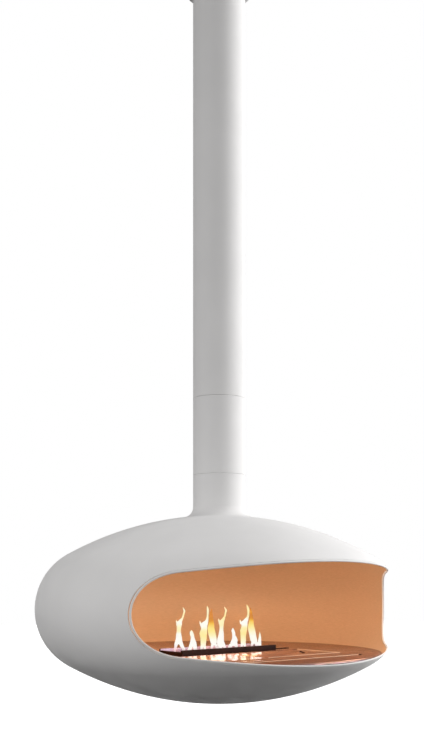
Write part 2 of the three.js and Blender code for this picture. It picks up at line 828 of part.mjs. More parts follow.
function floorPlate() {
  const rimPoints = Array.from({ length: roundSides }, (_, i) => {
    const angle = (2 * Math.PI * i) / roundSides;
    return new THREE.Vector2(floorRadius * Math.cos(angle), floorRadius * Math.sin(angle));
  });
  const disc = new THREE.ExtrudeGeometry(new THREE.Shape(rimPoints), {
    depth: floorThickness,
    bevelEnabled: false,
  }).translate(0, 0, floorBottom);
  const low = floorBottom - 1;
  const high = floorTop + 1;
  const { halfLength, halfWidth } = trayOuter;
  const slotHalf = tab.radius + tab.slotFit;
  const slotStart = tabX - tab.radius - tab.slotFit / 2;
  let body = cut(
    solid(disc),
    box(
      burner.x - halfLength - runGap,
      burner.x + halfLength + runGap,
      burner.y - halfWidth - runGap,
      burner.y + halfWidth + runGap,
      low,
      high,
    ),
    box(
      hatch.left - hatch.edgeGap,
      hatch.right + hatch.edgeGap,
      hatchFront - hatch.edgeGap,
      hatchBack,
      low,
      high,
    ),
    box(slotStart, tab.slotEnd, burner.y - slotHalf, burner.y + slotHalf, low, high),
    box(
      -floorRadius - 1,
      slitEnd,
      slitY - slit.width / 2,
      slitY + slit.width / 2,
      low,
      high,
    ),
    rod(slit.reliefHole, low, high, 16).translate(slitEnd, slitY, 0),
  );
  around(floorScrew.count, Math.PI / 4, (turn) => {
    body = cut(body, floorHole(turn));
  });
  return cut(body.add(knuckles(1, hatchBack + 1)), pinBore);
}

// ---------------------------------------------------------------- burner
const frameInner = {
  halfLength: burner.halfLength - frameBar.width,
  halfWidth: burner.halfWidth - frameBar.width,
};
const trayOuter = {
  halfLength: frameInner.halfLength - runGap - tray.flangeWidth,
  halfWidth: frameInner.halfWidth - runGap - tray.flangeWidth,
};
const trayInner = {
  halfLength: trayOuter.halfLength - tray.wall,
  halfWidth: trayOuter.halfWidth - tray.wall,
};
const trayBottom = floorTop - tray.depth;
const deckTop = floorTop - deck.drop;
const deckBottom = deckTop - deck.thickness;
const railFace = trayInner.halfWidth - seatGap - rail.width;
const shutterHalfWidth = railFace - shutter.sideGap;
const shutterTop = deckBottom - seatGap;
const shutterBottom = shutterTop - shutter.thickness;
const shutterTravel = window_.web - 1;
const windowPitch = window_.length + window_.web;
const windowSpan = ((window_.count - 1) * windowPitch + window_.length) / 2;
const tabX = burner.x + burner.halfLength + tab.inset;
const pipeZ = floorTop - pipe.drop;

function centred(halfLength, halfWidth, z0, z1) {
  return box(
    burner.x - halfLength,
    burner.x + halfLength,
    burner.y - halfWidth,
    burner.y + halfWidth,
    z0,
    z1,
  );
}

// Two tall bars along the burner, joined by lower ones at its ends.
function burnerFrame() {
  const bottom = floorTop + seatGap;
  const top = bottom + frameBar.height;
  return cut(
    solid(centred(burner.halfLength, burner.halfWidth, bottom, top)),
    centred(frameInner.halfLength, frameInner.halfWidth, bottom - 1, top + 1),
    centred(burner.halfLength + 1, frameInner.halfWidth, bottom + frameBar.endHeight, top + 1),
  );
}

function burnerTray() {
  const flangeTop = floorTop + seatGap + tray.flangeHeight;
  const grown = tray.flangeWidth;
  const outer = join(
    centred(trayOuter.halfLength, trayOuter.halfWidth, trayBottom, flangeTop),
    centred(
      trayOuter.halfLength + grown,
      trayOuter.halfWidth + grown,
      floorTop + seatGap,
      flangeTop,
    ),
  );
  const right = burner.x + trayOuter.halfLength;
  const tongueHalf = shutter.tongueHalfWidth + runGap;
  return cut(
    outer,
    centred(
      trayInner.halfLength,
      trayInner.halfWidth,
      trayBottom + tray.wall,
      flangeTop + 1,
    ),
    box(
      right - tray.wall - 1,
      right + 1,
      burner.y - tongueHalf,
      burner.y + tongueHalf,
      shutterBottom - runGap,
      shutterTop + seatGap,
    ),
    pipeHole(burner.y - trayOuter.halfWidth),
  );
}

function windows() {
  return Array.from({ length: window_.count }, (_, i) => {
    const x = burner.x - windowSpan + window_.length / 2 + i * windowPitch;
    return box(
      x - window_.length / 2,
      x + window_.length / 2,
      burner.y - window_.halfWidth,
      burner.y + window_.halfWidth,
      shutterBottom - 1,
      deckTop + 1,
    );
  });
}

function burnerDeck() {
  const fit = 2 * seatGap;
  const sheet = centred(
    trayInner.halfLength - fit,
    trayInner.halfWidth - fit,
    deckBottom,
    deckTop,
  );
  return cut(solid(sheet), ...windows());
}

function shutterSheet() {
  const left = burner.x - windowSpan - shutterTravel - 1;
  const right = burner.x + windowSpan + window_.margin;
  const sheet = box(
    left,
    right,
    burner.y - shutterHalfWidth,
    burner.y + shutterHalfWidth,
    shutterBottom,
    shutterTop,
  );
  const tongue = box(
    right - 5,
    tabX + tab.radius + 2,
    burner.y - shutter.tongueHalfWidth,
    burner.y + shutter.tongueHalfWidth,
    shutterBottom,
    shutterTop,
  );
  return cut(join(sheet, tongue), ...windows());
}

// A rail on one long side of the tray: the deck rests on it, and the shutter runs on its lip.
function guideRail(side) {
  const wallY = railFace + rail.width;
  const lipTop = shutterBottom - seatGap;
  const lipBottom = lipTop - rail.lipHeight;
  const profile = [
    [wallY, lipBottom],
    [wallY, deckBottom - seatGap],
    [railFace, deckBottom - seatGap],
    [railFace, lipTop],
    [railFace - rail.lip, lipTop],
    [railFace - rail.lip, lipBottom],
  ];
  const outline = new THREE.Shape(profile.map(([y, z]) => new THREE.Vector2(side * y, z)));
  const length = 2 * (trayInner.halfLength - rail.inset);
  return new THREE.ExtrudeGeometry(outline, { depth: length, bevelEnabled: false })
    .rotateX(Math.PI / 2)
    .rotateZ(Math.PI / 2)
    .translate(burner.x - length / 2, burner.y, 0);
}

function wickBlock() {
  const railBottom = shutterBottom - seatGap - rail.lipHeight;
  return centred(
    trayInner.halfLength - wick.endGap,
    wick.halfWidth,
    trayBottom + tray.wall + seatGap,
    railBottom - wick.topGap,
  );
}

// ---------------------------------------------------------------- fuel tank and hatch
const tankBox = {
  left: hatch.left + tank.sideGap,
  right: hatch.right - tank.sideGap,
  front: hatchFront + tank.endGap,
  back: hinge.y - tank.endGap,
  top: floorTop - tank.top,
};
const tankCorner = Math.hypot(Math.max(tankBox.right, -tankBox.left), tankBox.front);
tankBox.bottom = heightAt(hearthLine(shellWall), tankCorner) + tank.shellGap;
const neckTopZ = tankBox.top + neck.height;
const capBore = neck.radius + cap.fit;

function pipeHole(y) {
  return rod(pipe.radius + pipe.fit, y - 6, y + 6, 12)
    .rotateX(-Math.PI / 2)
    .translate(pipe.x, 0, pipeZ);
}

function fuelTank() {
  const { left, right, front, back, top, bottom } = tankBox;
  const w = tank.wall;
  const neckOuter = rod(neck.radius, top - w, neckTopZ, 24).translate(neck.x, neck.y, 0);
  const neckBore = rod(neck.radius - neck.wall, top - w - 1, neckTopZ + 1, 24);
  return cut(
    join(box(left, right, front, back, bottom, top), neckOuter),
    box(left + w, right - w, front + w, back - w, bottom + w, top - w),
    neckBore.translate(neck.x, neck.y, 0),
    pipeHole(back),
  );
}

function feedPipe() {
  const from = tankBox.back - pipe.reach;
  const to = burner.y - trayOuter.halfWidth + pipe.reach;
  return turned(ringProfile(pipe.radius - pipe.wall, pipe.radius, from, to), 12)
    .rotateX(-Math.PI / 2)
    .translate(pipe.x, 0, pipeZ);
}

// A hanger from the floor's underside to one side of the tank; the shut hatch rests on it.
function tankBracket(side) {
  const wallX = side > 0 ? tankBox.right + seatGap : tankBox.left - seatGap;
  const edgeX = side > 0 ? hatch.right + bracket.lap : hatch.left - bracket.lap;
  const top = floorBottom - seatGap;
  const middle = (tankBox.front + tankBox.back) / 2;
  const y0 = middle - bracket.halfWidth;
  const y1 = middle + bracket.halfWidth;
  const legX = wallX + side * bracket.thickness;
  return join(
    box(Math.min(wallX, edgeX), Math.max(wallX, edgeX), y0, y1, top - bracket.thickness, top),
    box(Math.min(wallX, legX), Math.max(wallX, legX), y0, y1, tankBox.top - bracket.hang, top),
  );
}

function hatchPanel() {
  const sheet = box(
    hatch.left,
    hatch.right,
    hatchFront,
    hinge.y - hinge.barrel - runGap,
    floorBottom,
    floorTop,
  );
  const holes = fingerHole.places.map(([x, y]) =>
    rod(fingerHole.radius, floorBottom - 1, floorTop + 1, 12).translate(x, y, 0),
  );
  const body = solid(sheet).add(knuckles(0, hinge.y - hinge.barrel - runGap - 1));
  return cut(body, pinBore, ...holes);
}

function fillerCap() {
  const outer = capBore + cap.wall;
  const bottom = neckTopZ - cap.skirt;
  const top = neckTopZ + cap.rise;
  const steps = cap.flutes * 2;
  const edge = Array.from({ length: steps }, (_, i) => {
    const radius = outer - (i % 2 ? cap.fluteDepth : 0);
    const angle = (2 * Math.PI * i) / steps;
    return new THREE.Vector2(radius * Math.cos(angle), radius * Math.sin(angle));
  });
  const fluted = new THREE.ExtrudeGeometry(new THREE.Shape(edge), {
    depth: top - bottom,
    bevelEnabled: false,
  }).translate(0, 0, bottom);
  const ceiling = neckTopZ + seatGap + capSeal.thickness + seatGap;
  return cut(solid(fluted), rod(capBore, bottom - 1, ceiling, 24));
}

function sealRing() {
  const bottom = neckTopZ + seatGap;
  return turned(
    ringProfile(
      neck.radius - 2 * neck.wall,
      neck.radius,
      bottom,
      bottom + capSeal.thickness,
    ),
    16,
  );
}

piece(hearthGroup, "floor_ring", floorRingShape(), finish.steel);
piece(hearthGroup, "floor_plate", floorPlate(), finish.floor);
around(floorScrew.count, Math.PI / 4, (turn, number) => {
  const shape = countersunk(floorScrew, 0);
  const mesh = piece(hearthGroup, `floor_screw_${number}`, shape, finish.floor);
  mesh.position.set(
    floorScrewCircle * Math.cos(turn),
    floorScrewCircle * Math.sin(turn),
    floorTop - seatGap,
  );
});

piece(hearthGroup, "burner_tray", burnerTray(), finish.steel);
piece(hearthGroup, "burner_frame", burnerFrame(), finish.dark);
piece(hearthGroup, "burner_deck", burnerDeck(), finish.steel);
piece(hearthGroup, "ceramic_wick", wickBlock(), finish.ceramic);
piece(hearthGroup, "guide_rail_front", guideRail(-1), finish.steel);
piece(hearthGroup, "guide_rail_back", guideRail(1), finish.steel);
piece(hearthGroup, "shutter", shutterSheet(), finish.dark);
piece(
  hearthGroup,
  "shutter_tab",
  rod(tab.radius, shutterTop + seatGap, floorTop + tab.rise, 16).translate(tabX, burner.y, 0),
  finish.dark,
);

piece(hearthGroup, "fuel_tank", fuelTank(), finish.steel);
piece(hearthGroup, "feed_pipe", feedPipe(), finish.bronze);
piece(hearthGroup, "tank_bracket_left", tankBracket(-1), finish.steel);
piece(hearthGroup, "tank_bracket_right", tankBracket(1), finish.steel);
piece(hearthGroup, "hatch_panel", hatchPanel(), finish.floor);
piece(
  hearthGroup,
  "hatch_pin",
  rod(hinge.pin, hatch.left, hatch.right)
    .rotateY(Math.PI / 2)
    .translate(0, hinge.y, hingeZ),
  finish.steel,
);
const capMesh = piece(hearthGroup, "filler_cap", fillerCap(), finish.dark);
capMesh.position.set(neck.x, neck.y, 0);
const sealMesh = piece(hearthGroup, "cap_seal", sealRing(), finish.rubber);
sealMesh.position.set(neck.x, neck.y, 0);

export default root;
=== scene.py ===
"""A hanging fireplace: a white steel hearth on a ceiling tube, with a slot burner in its floor."""

import math

import bpy
from bpy.props import FloatProperty, FloatVectorProperty, IntProperty, PointerProperty
from mathutils import Matrix, Vector
from mathutils.geometry import tessellate_polygon


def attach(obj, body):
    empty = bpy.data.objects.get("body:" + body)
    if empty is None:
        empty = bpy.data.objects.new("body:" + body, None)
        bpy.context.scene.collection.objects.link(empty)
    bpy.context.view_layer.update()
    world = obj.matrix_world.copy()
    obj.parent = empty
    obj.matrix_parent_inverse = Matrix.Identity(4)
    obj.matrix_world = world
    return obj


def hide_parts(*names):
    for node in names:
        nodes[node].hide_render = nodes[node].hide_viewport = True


bl_info = {
    "name": "Hanging Fireplace",
    "version": (1, 0, 0),
    "blender": (4, 5, 0),
    "location": "View3D > Sidebar > Fireplace",
    "description": "Dresses the hanging fireplace's solids with fine surfaces, finishes and flames",
    "category": "Object",
}

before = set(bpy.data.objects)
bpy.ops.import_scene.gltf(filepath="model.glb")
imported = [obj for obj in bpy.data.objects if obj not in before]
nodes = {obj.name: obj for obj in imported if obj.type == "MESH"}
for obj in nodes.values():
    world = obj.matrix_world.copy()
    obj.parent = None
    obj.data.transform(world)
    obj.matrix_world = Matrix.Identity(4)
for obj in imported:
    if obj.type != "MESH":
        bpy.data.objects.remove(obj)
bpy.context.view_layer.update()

# ------------------------------------------------------------------ sizes, in millimetres
MM = 0.001
HEARTH_LEVEL = -2200.0  # the hearth's widest circle below the ceiling

TUBE_RADIUS = 90.0
TUBE_BORE = 87.0
TUBE_TOP = -8.3
SWIVEL_SEAM = -1472.0
SWIVEL_SEAM_GAP = 0.7
NECK_SEAM = -1737.0
NECK_SEAM_GAP = 0.6
SEAM_CHAMFER = 0.3
FLANGE_BORE = 58.0
FLANGE_HEIGHT = 8.0
TUBE_FLANGE_TOP = -1488.3

ROSE_RADIUS = 122.0
ROSE_WALL = 2.0
ROSE_HEIGHT = 54.0
ROSE_EDGE = 6.0
ROSE_TUBE_FIT = 1.0
ROSE_SCREWS = 3
ROSE_SCREW_DROP = 19.0
ROSE_SCREW_HEAD = 4.0

HEARTH_RADIUS = 630.0
HALF_HEIGHT = 323.0
END_RADIUS = 215.0
END_CENTRE = HEARTH_RADIUS - END_RADIUS
LARGE_RADIUS = (END_CENTRE**2 + HALF_HEIGHT**2 - END_RADIUS**2) / (2 * (HALF_HEIGHT - END_RADIUS))
LARGE_DROP = LARGE_RADIUS - HALF_HEIGHT
END_ANGLE = math.atan2(LARGE_DROP, END_CENTRE)
NECK_FILLET = 38.0
FILLET_RADIUS_AT = TUBE_RADIUS + NECK_FILLET
FILLET_HEIGHT = math.sqrt((LARGE_RADIUS + NECK_FILLET) ** 2 - FILLET_RADIUS_AT**2) - LARGE_DROP
FILLET_ANGLE = math.atan2(FILLET_HEIGHT + LARGE_DROP, FILLET_RADIUS_AT)
NECK_TOP = NECK_SEAM - NECK_SEAM_GAP / 2 - HEARTH_LEVEL
SHELL_WALL = 3.0
LINER_OUTER = 4.0
LINER_INNER = 6.0
MID_WALL = LINER_INNER / 2

OPENING_HALF_LENGTH = 570.4
OPENING_HALF_HEIGHT = 159.2
OPENING_END_RADIUS = 127.0
OPENING_END_CENTRE = OPENING_HALF_LENGTH - OPENING_END_RADIUS
OPENING_LARGE_RADIUS = (
    OPENING_END_CENTRE**2 + OPENING_HALF_HEIGHT**2 - OPENING_END_RADIUS**2
) / (2 * (OPENING_HALF_HEIGHT - OPENING_END_RADIUS))
OPENING_DROP = OPENING_LARGE_RADIUS - OPENING_HALF_HEIGHT
OPENING_MEET = math.atan2(OPENING_DROP, OPENING_END_CENTRE)
RIM_TAIL = 3.0
RIM_LAP = 0.05

LANDING_HOLE = 100.0
LANDING_RADIUS = 122.0
COVER_RADIUS = 118.0
COVER_THICKNESS = 2.0
COVER_SCREW_CIRCLE = 109.0
COVER_SCREW_HEAD = 5.0

FLOOR_TOP = -147.0
FLOOR_THICKNESS = 4.0
FLOOR_RADIUS = 558.9
FLOOR_SCREW_CIRCLE = 530.4
FLOOR_SCREW_HEAD = 5.0
SLIT_Y = -436.1
SLIT_END = 237.7
SLIT_HALF = 1.0
RELIEF_HOLE = 4.0
TAB_SLOT = (165.0, 277.0, -62.0, -52.0)
BURNER_X, BURNER_Y = -49.5, -57.0
BURNER_HALF_LENGTH, BURNER_HALF_WIDTH = 210.5, 61.0
BAR_WIDTH, BAR_HEIGHT, END_BAR_HEIGHT = 8.0, 20.0, 14.0
BURNER_HOLE = (-247.0, 148.0, -105.0, -9.0)
DECK_TOP = FLOOR_TOP - 4.0
HATCH_LEFT, HATCH_RIGHT, HATCH_FRONT = -80.0, 252.0, -328.1
HATCH_GAP = 1.5
HINGE_Y = -126.0
BARREL = 3.5
KNUCKLES = 5
KNUCKLE_GAP = 0.5
HINGE_CLEARANCE = 1.0
FINGER_HOLES = ((188.0, -213.0), (168.0, -243.0))
FINGER_HOLE = 4.5
COLLAR_WIDTH, COLLAR_HEIGHT = 0.8, 2.0
TRIM_WIDTH, TRIM_HEIGHT = 2.0, 2.0
TRIM_GAP = 0.4
TRIM_EDGE = 0.5
SEAT_GAP = 0.3  # what a seated piece keeps from its seat
LAID_GAP = 0.05  # what a thin trim or collar keeps from the floor

LOW_FLAME_START, LOW_FLAME_LENGTH = -241.0, 383.0
SWAY_LENGTH, SWAY_SHARE = 26.0, 0.015  # the flames' lean to the back and front
SWAY_STEP = 1.7  # from one tongue of flame to the next
RIPPLE, RIPPLE_LENGTH = 0.04, 9.0  # the flames' uneven sides


# ------------------------------------------------------------------ the camera, in metres
CAMERA_PLACE = (-2.2913, -2.6126, -2.090)
CAMERA_AHEAD = (0.65935, 0.75184, 0.0)
CAMERA_SHIFT = (-0.00942, 0.2797)


# ------------------------------------------------------------------ settings
def colour_setting(name, description, default):
    return FloatVectorProperty(
        name=name, description=description, default=default, subtype="COLOR", min=0, max=1
    )


def length_setting(name, description, default):
    return FloatProperty(
        name=name, description=description, default=default, subtype="DISTANCE", unit="LENGTH"
    )


def power_setting(name, description, default):
    return FloatProperty(name=name, description=description, default=default, min=0, unit="POWER")


class FireplaceSizes(bpy.types.PropertyGroup):
    columns: IntProperty(
        name="Columns",
        description="Faces round the hearth's widest circle",
        default=240,
        min=48,
        max=480,
    )
    bead_radius: length_setting("Lip radius", "Radius of the rolled lip round the opening", 0.003)
    plate_bevel: length_setting("Plate edge", "Rounding of the floor's and hatch's edges", 0.0005)
    bar_bevel: length_setting("Burner bar edge", "Rounding of the burner frame's edges", 0.0009)
    flame_depth: FloatProperty(
        name="Flame depth",
        description="A flame's depth as a share of its width",
        default=0.6,
        min=0.2,
        max=1.0,
        subtype="FACTOR",
    )


class FireplaceFinishes(bpy.types.PropertyGroup):
    coat: colour_setting("White coat", "Colour of the powder coat outside", (0.80, 0.79, 0.785))
    copper: colour_setting("Copper liner", "Colour of the satin liner", (0.62, 0.405, 0.25))
    floor: colour_setting("Floor", "Colour of the glossy floor", (0.31, 0.165, 0.115))
    bar: colour_setting("Burner bar", "Colour of the burner frame's paint", (0.040, 0.020, 0.017))
    steel: colour_setting("Steel", "Colour of the bare steel", (0.56, 0.55, 0.54))
    zinc: colour_setting("Zinc", "Colour of the plated screws and bolts", (0.60, 0.61, 0.60))
    bronze: colour_setting("Bronze", "Colour of the bush and the feed pipe", (0.50, 0.33, 0.15))
    ceramic: colour_setting("Ceramic", "Colour of the wick's ceramic fibre", (0.80, 0.76, 0.68))
    rubber: colour_setting("Rubber", "Colour of the filler cap's seal", (0.02, 0.02, 0.021))


class FireplaceStudio(bpy.types.PropertyGroup):
    side_power: power_setting("Side light", "Power of the soft light on the right", 123.0)
    high_power: power_setting("High light", "Power of the soft light high on the right", 100.0)
    left_power: power_setting("Left light", "Power of the soft light on the left", 71.0)
    low_power: power_setting(
        "Low light", "Power of the soft light in front, low on the right", 62.0
    )
    glow_power: power_setting(
        "Fire glow", "Power of the warm light that the fire throws on the liner", 11.3
    )
    room: FloatProperty(
        name="Room light",
        description="Strength of the even light from all round",
        default=0.38,
        min=0,
        max=1,
    )
    floor_level: length_setting("Floor level", "Height of the room's floor", -3.0)
    lens: FloatProperty(
        name="Lens",
        description="The camera's focal length in millimetres on a 36 mm high sensor",
        default=48.65,
        min=10,
    )


class FireplaceSettings(bpy.types.PropertyGroup):
    sizes: PointerProperty(type=FireplaceSizes)
    finishes: PointerProperty(type=FireplaceFinishes)
    studio: PointerProperty(type=FireplaceStudio)


def settings():
    return bpy.context.scene.fireplace


# ------------------------------------------------------------------ shader groups
def node_group(name, inputs, outputs):
    """A new shader group with its named sockets, and its two end nodes."""
    tree = bpy.data.node_groups.new(name, "ShaderNodeTree")
    for label, kind, default in inputs:
        socket = tree.interface.new_socket(label, in_out="INPUT", socket_type=kind)
        if default is not None:
            socket.default_value = default
    for label, kind in outputs:
        tree.interface.new_socket(label, in_out="OUTPUT", socket_type=kind)
    start = tree.nodes.new("NodeGroupInput")
    end = tree.nodes.new("NodeGroupOutput")
    return tree, start, end


def add_node(tree, kind, **values):
    node = tree.nodes.new(kind)
    for name, value in values.items():
        setattr(node, name, value)
    return node


def math_node(tree, operation, first, second=None, clamp=False):
    """A Math node fed by numbers or sockets."""
    node = add_node(tree, "ShaderNodeMath", operation=operation, use_clamp=clamp)
    for socket, value in zip(node.inputs, (first, second)):
        if value is None:
            continue
        if isinstance(value, (int, float)):
            socket.default_value = value
        else:
            tree.links.new(value, socket)
    return node.outputs[0]


def noise_node(tree, vector, scale, detail=2.0, roughness=0.5):
    node = add_node(tree, "ShaderNodeTexNoise")
    tree.links.new(vector, node.inputs["Vector"])
    if isinstance(scale, (int, float)):
        node.inputs["Scale"].default_value = scale
    else:
        tree.links.new(scale, node.inputs["Scale"])
    node.inputs["Detail"].default_value = detail
    node.inputs["Roughness"].default_value = roughness
    return node.outputs["Fac"]


def spread(tree, value, low, high):
    """A noise's value, which mostly lies between 0.3 and 0.7, mapped to low..high."""
    node = add_node(tree, "ShaderNodeMapRange")
    tree.links.new(value, node.inputs["Value"])
    node.inputs["From Min"].default_value = 0.3
    node.inputs["From Max"].default_value = 0.7
    for label, number in (("To Min", low), ("To Max", high)):
        if isinstance(number, (int, float)):
            node.inputs[label].default_value = number
        else:
            tree.links.new(number, node.inputs[label])
    return node.outputs["Result"]


def mixed_colour(tree, factor, first, second, blend="MIX"):
    node = add_node(tree, "ShaderNodeMix", data_type="RGBA", blend_type=blend)
    sockets = (node.inputs[0], node.inputs[6], node.inputs[7])
    for socket, value in zip(sockets, (factor, first, second)):
        if isinstance(value, (int, float)):
            socket.default_value = value
        elif isinstance(value, bpy.types.NodeSocket):
            tree.links.new(value, socket)
        else:
            socket.default_value = (*value[:3], 1.0)
    return node.outputs[2]


def fill_ramp(ramp, stops):
    """Gives a colour ramp its stops, each a place and a colour."""
    ramp.elements[0].position = stops[0][0]
    ramp.elements[0].color = (*stops[0][1], 1.0)
    ramp.elements[1].position = stops[-1][0]
    ramp.elements[1].color = (*stops[-1][1], 1.0)
    for at, colour in stops[1:-1]:
        ramp.elements.new(at).color = (*colour, 1.0)


def powder_grain_group():
    """The fine orange-peel surface of a baked powder coat, with faint clouds of tone."""
    tree, start, end = node_group(
        "Powder Grain",
        [
            ("Vector", "NodeSocketVector", None),
            ("Grain Scale", "NodeSocketFloat", 900.0),
            ("Cloud Scale", "NodeSocketFloat", 5.0),
        ],
        [("Tone", "NodeSocketFloat"), ("Sheen", "NodeSocketFloat"), ("Height", "NodeSocketFloat")],
    )
    peel = noise_node(tree, start.outputs["Vector"], start.outputs["Grain Scale"], 1.0)
    clouds = noise_node(tree, start.outputs["Vector"], start.outputs["Cloud Scale"], 3.0)
    wider = math_node(tree, "MULTIPLY", start.outputs["Cloud Scale"], 4.0)
    patches = noise_node(tree, start.outputs["Vector"], wider, 2.0)
    tree.links.new(spread(tree, clouds, 0.0, 1.0), end.inputs["Tone"])
    tree.links.new(spread(tree, patches, 0.0, 1.0), end.inputs["Sheen"])
    tree.links.new(peel, end.inputs["Height"])
    return tree


def brushed_group():
    """Fine parallel scratches of brushed metal, with smears where hands and heat have been."""
    tree, start, end = node_group(
        "Brushed Metal",
        [
            ("Vector", "NodeSocketVector", None),
            ("Stretch", "NodeSocketVector", (30.0, 900.0, 900.0)),
            ("Smear Scale", "NodeSocketFloat", 9.0),
        ],
        [("Tone", "NodeSocketFloat"), ("Smear", "NodeSocketFloat"), ("Height", "NodeSocketFloat")],
    )
    stretched = add_node(tree, "ShaderNodeVectorMath", operation="MULTIPLY")
    tree.links.new(start.outputs["Vector"], stretched.inputs[0])
    tree.links.new(start.outputs["Stretch"], stretched.inputs[1])
    lines = noise_node(tree, stretched.outputs[0], 1.0, 2.0, 0.6)
    smear = noise_node(tree, start.outputs["Vector"], start.outputs["Smear Scale"], 3.0)
    tree.links.new(spread(tree, lines, 0.0, 1.0), end.inputs["Tone"])
    tree.links.new(spread(tree, smear, 0.0, 1.0), end.inputs["Smear"])
    tree.links.new(lines, end.inputs["Height"])
    return tree


def heat_tint_and_flame_glow_group():
    """Straw, violet and blue tints that heated steel takes, in soft patches; their rose and violet
    also paint the pink flame light that the burner's steel reflects.
    """
    tree, start, end = node_group(
        "Heat Tint And Flame Glow",
        [
            ("Vector", "NodeSocketVector", None),
            ("Colour", "NodeSocketColor", (0.56, 0.55, 0.54, 1.0)),
            ("Amount", "NodeSocketFloat", 0.6),
        ],
        [("Colour", "NodeSocketColor")],
    )
    patches = noise_node(tree, start.outputs["Vector"], 14.0, 2.0)
    ramp = add_node(tree, "ShaderNodeValToRGB")
    fill_ramp(ramp.color_ramp, [
        (0.30, (0.34, 0.22, 0.17)),
        (0.45, (0.33, 0.17, 0.17)),
        (0.58, (0.26, 0.15, 0.20)),
        (0.72, (0.21, 0.17, 0.24)),
    ])
    tree.links.new(patches, ramp.inputs["Fac"])
    mixed = mixed_colour(
        tree, start.outputs["Amount"], start.outputs["Colour"], ramp.outputs["Color"]
    )
    tree.links.new(mixed, end.inputs["Colour"])
    return tree


GROUPS = {
    "Powder Grain": powder_grain_group,
    "Brushed Metal": brushed_group,
    "Heat Tint And Flame Glow": heat_tint_and_flame_glow_group,
}


def placed_group(tree, name, **inputs):
    if name not in bpy.data.node_groups:
        GROUPS[name]()
    node = add_node(tree, "ShaderNodeGroup", node_tree=bpy.data.node_groups[name])
    for label, value in inputs.items():
        socket = node.inputs[label.replace("_", " ")]
        if isinstance(value, bpy.types.NodeSocket):
            tree.links.new(value, socket)
        else:
            socket.default_value = value
    return node


# ------------------------------------------------------------------ finishes
def new_material(name):
    """A material with its Principled shader and the point's place on the object, in metres."""
    material = bpy.data.materials.new(name)
    material.use_nodes = True
    tree = material.node_tree
    shader = tree.nodes["Principled BSDF"]
    place = add_node(tree, "ShaderNodeTexCoord").outputs["Object"]
    return material, tree, shader, place


def bump(tree, shader, height, strength, distance):
    node = add_node(tree, "ShaderNodeBump")
    node.inputs["Strength"].default_value = strength
    node.inputs["Distance"].default_value = distance
    tree.links.new(height, node.inputs["Height"])
    tree.links.new(node.outputs["Normal"], shader.inputs["Normal"])


def shaded(colour, factor):
    return tuple(channel * factor for channel in colour)


def coated(name, colour, darker, rough, grain, clouds, peel=0.00006, gloss=0.35):
    """Powder coat or paint: faint clouds of tone, uneven sheen and an orange-peel bump."""
    material, tree, shader, place = new_material(name)
    effect = placed_group(
        tree, "Powder Grain", Vector=place, Grain_Scale=grain, Cloud_Scale=clouds
    )
    tone = mixed_colour(tree, effect.outputs["Tone"], colour, shaded(colour, darker))
    tree.links.new(tone, shader.inputs["Base Color"])
    sheen = spread(tree, effect.outputs["Sheen"], rough[0], rough[1])
    tree.links.new(sheen, shader.inputs["Roughness"])
    bump(tree, shader, effect.outputs["Height"], 0.35, peel)
    shader.inputs["Specular IOR Level"].default_value = gloss
    return material


def metal(name, colour, rough, stretch, smears, tint=0.0, metallic=1.0, scratch=0.00003):
    """Metal with brushed lines and smears; tint adds the colours of heat, together with painted
    pink flame light.
    """
    material, tree, shader, place = new_material(name)
    effect = placed_group(
        tree, "Brushed Metal", Vector=place, Stretch=stretch, Smear_Scale=smears
    )
    tone = mixed_colour(tree, effect.outputs["Tone"], colour, shaded(colour, 0.86))
    if tint:
        tone = placed_group(tree, "Heat Tint And Flame Glow", Vector=place, Colour=tone, Amount=tint).outputs[0]
    tree.links.new(tone, shader.inputs["Base Color"])
    tree.links.new(
        spread(tree, effect.outputs["Smear"], rough[0], rough[1]), shader.inputs["Roughness"]
    )
    bump(tree, shader, effect.outputs["Height"], 0.3, scratch)
    shader.inputs["Metallic"].default_value = metallic
    return material


def fibre(name, colour):
    """Pressed ceramic fibre: matt, mottled and slightly fluffy."""
    material, tree, shader, place = new_material(name)
    effect = placed_group(tree, "Powder Grain", Vector=place, Grain_Scale=420.0, Cloud_Scale=60.0)
    tone = mixed_colour(tree, effect.outputs["Tone"], colour, shaded(colour, 0.72))
    tree.links.new(tone, shader.inputs["Base Color"])
    bump(tree, shader, effect.outputs["Height"], 0.8, 0.0006)
    shader.inputs["Roughness"].default_value = 0.95
    return material


def flame_finish(name, stops, alphas, flicker, thrown):
    """Glowing gas: its colour and density follow its warmth. The camera sees it at the strength
    of 1; thrown is its strength in mirrors and on what it lights."""
    material, tree, shader, place = new_material(name)
    warmth = add_node(tree, "ShaderNodeAttribute", attribute_name="warmth").outputs["Fac"]
    waver = math_node(tree, "MULTIPLY_ADD", noise_node(tree, place, 60.0, 2.0), flicker)
    waver.node.inputs[2].default_value = -flicker / 2
    wavering = math_node(tree, "ADD", warmth, waver, clamp=True)
    colours = add_node(tree, "ShaderNodeValToRGB")
    fill_ramp(colours.color_ramp, stops)
    tree.links.new(wavering, colours.inputs["Fac"])
    density = add_node(tree, "ShaderNodeValToRGB")
    fill_ramp(density.color_ramp, [(at, (value,) * 3) for at, value in alphas])
    tree.links.new(wavering, density.inputs["Fac"])
    tree.links.new(colours.outputs["Color"], shader.inputs["Emission Color"])
    tree.links.new(density.outputs["Color"], shader.inputs["Alpha"])
    seen = add_node(tree, "ShaderNodeLightPath").outputs["Is Camera Ray"]
    strength = math_node(tree, "MULTIPLY_ADD", seen, 1.0 - thrown)
    strength.node.inputs[2].default_value = thrown
    tree.links.new(strength, shader.inputs["Emission Strength"])
    shader.inputs["Base Color"].default_value = (0.0, 0.0, 0.0, 1.0)
    shader.inputs["Specular IOR Level"].default_value = 0.0
    shader.inputs["Roughness"].default_value = 1.0
    return material


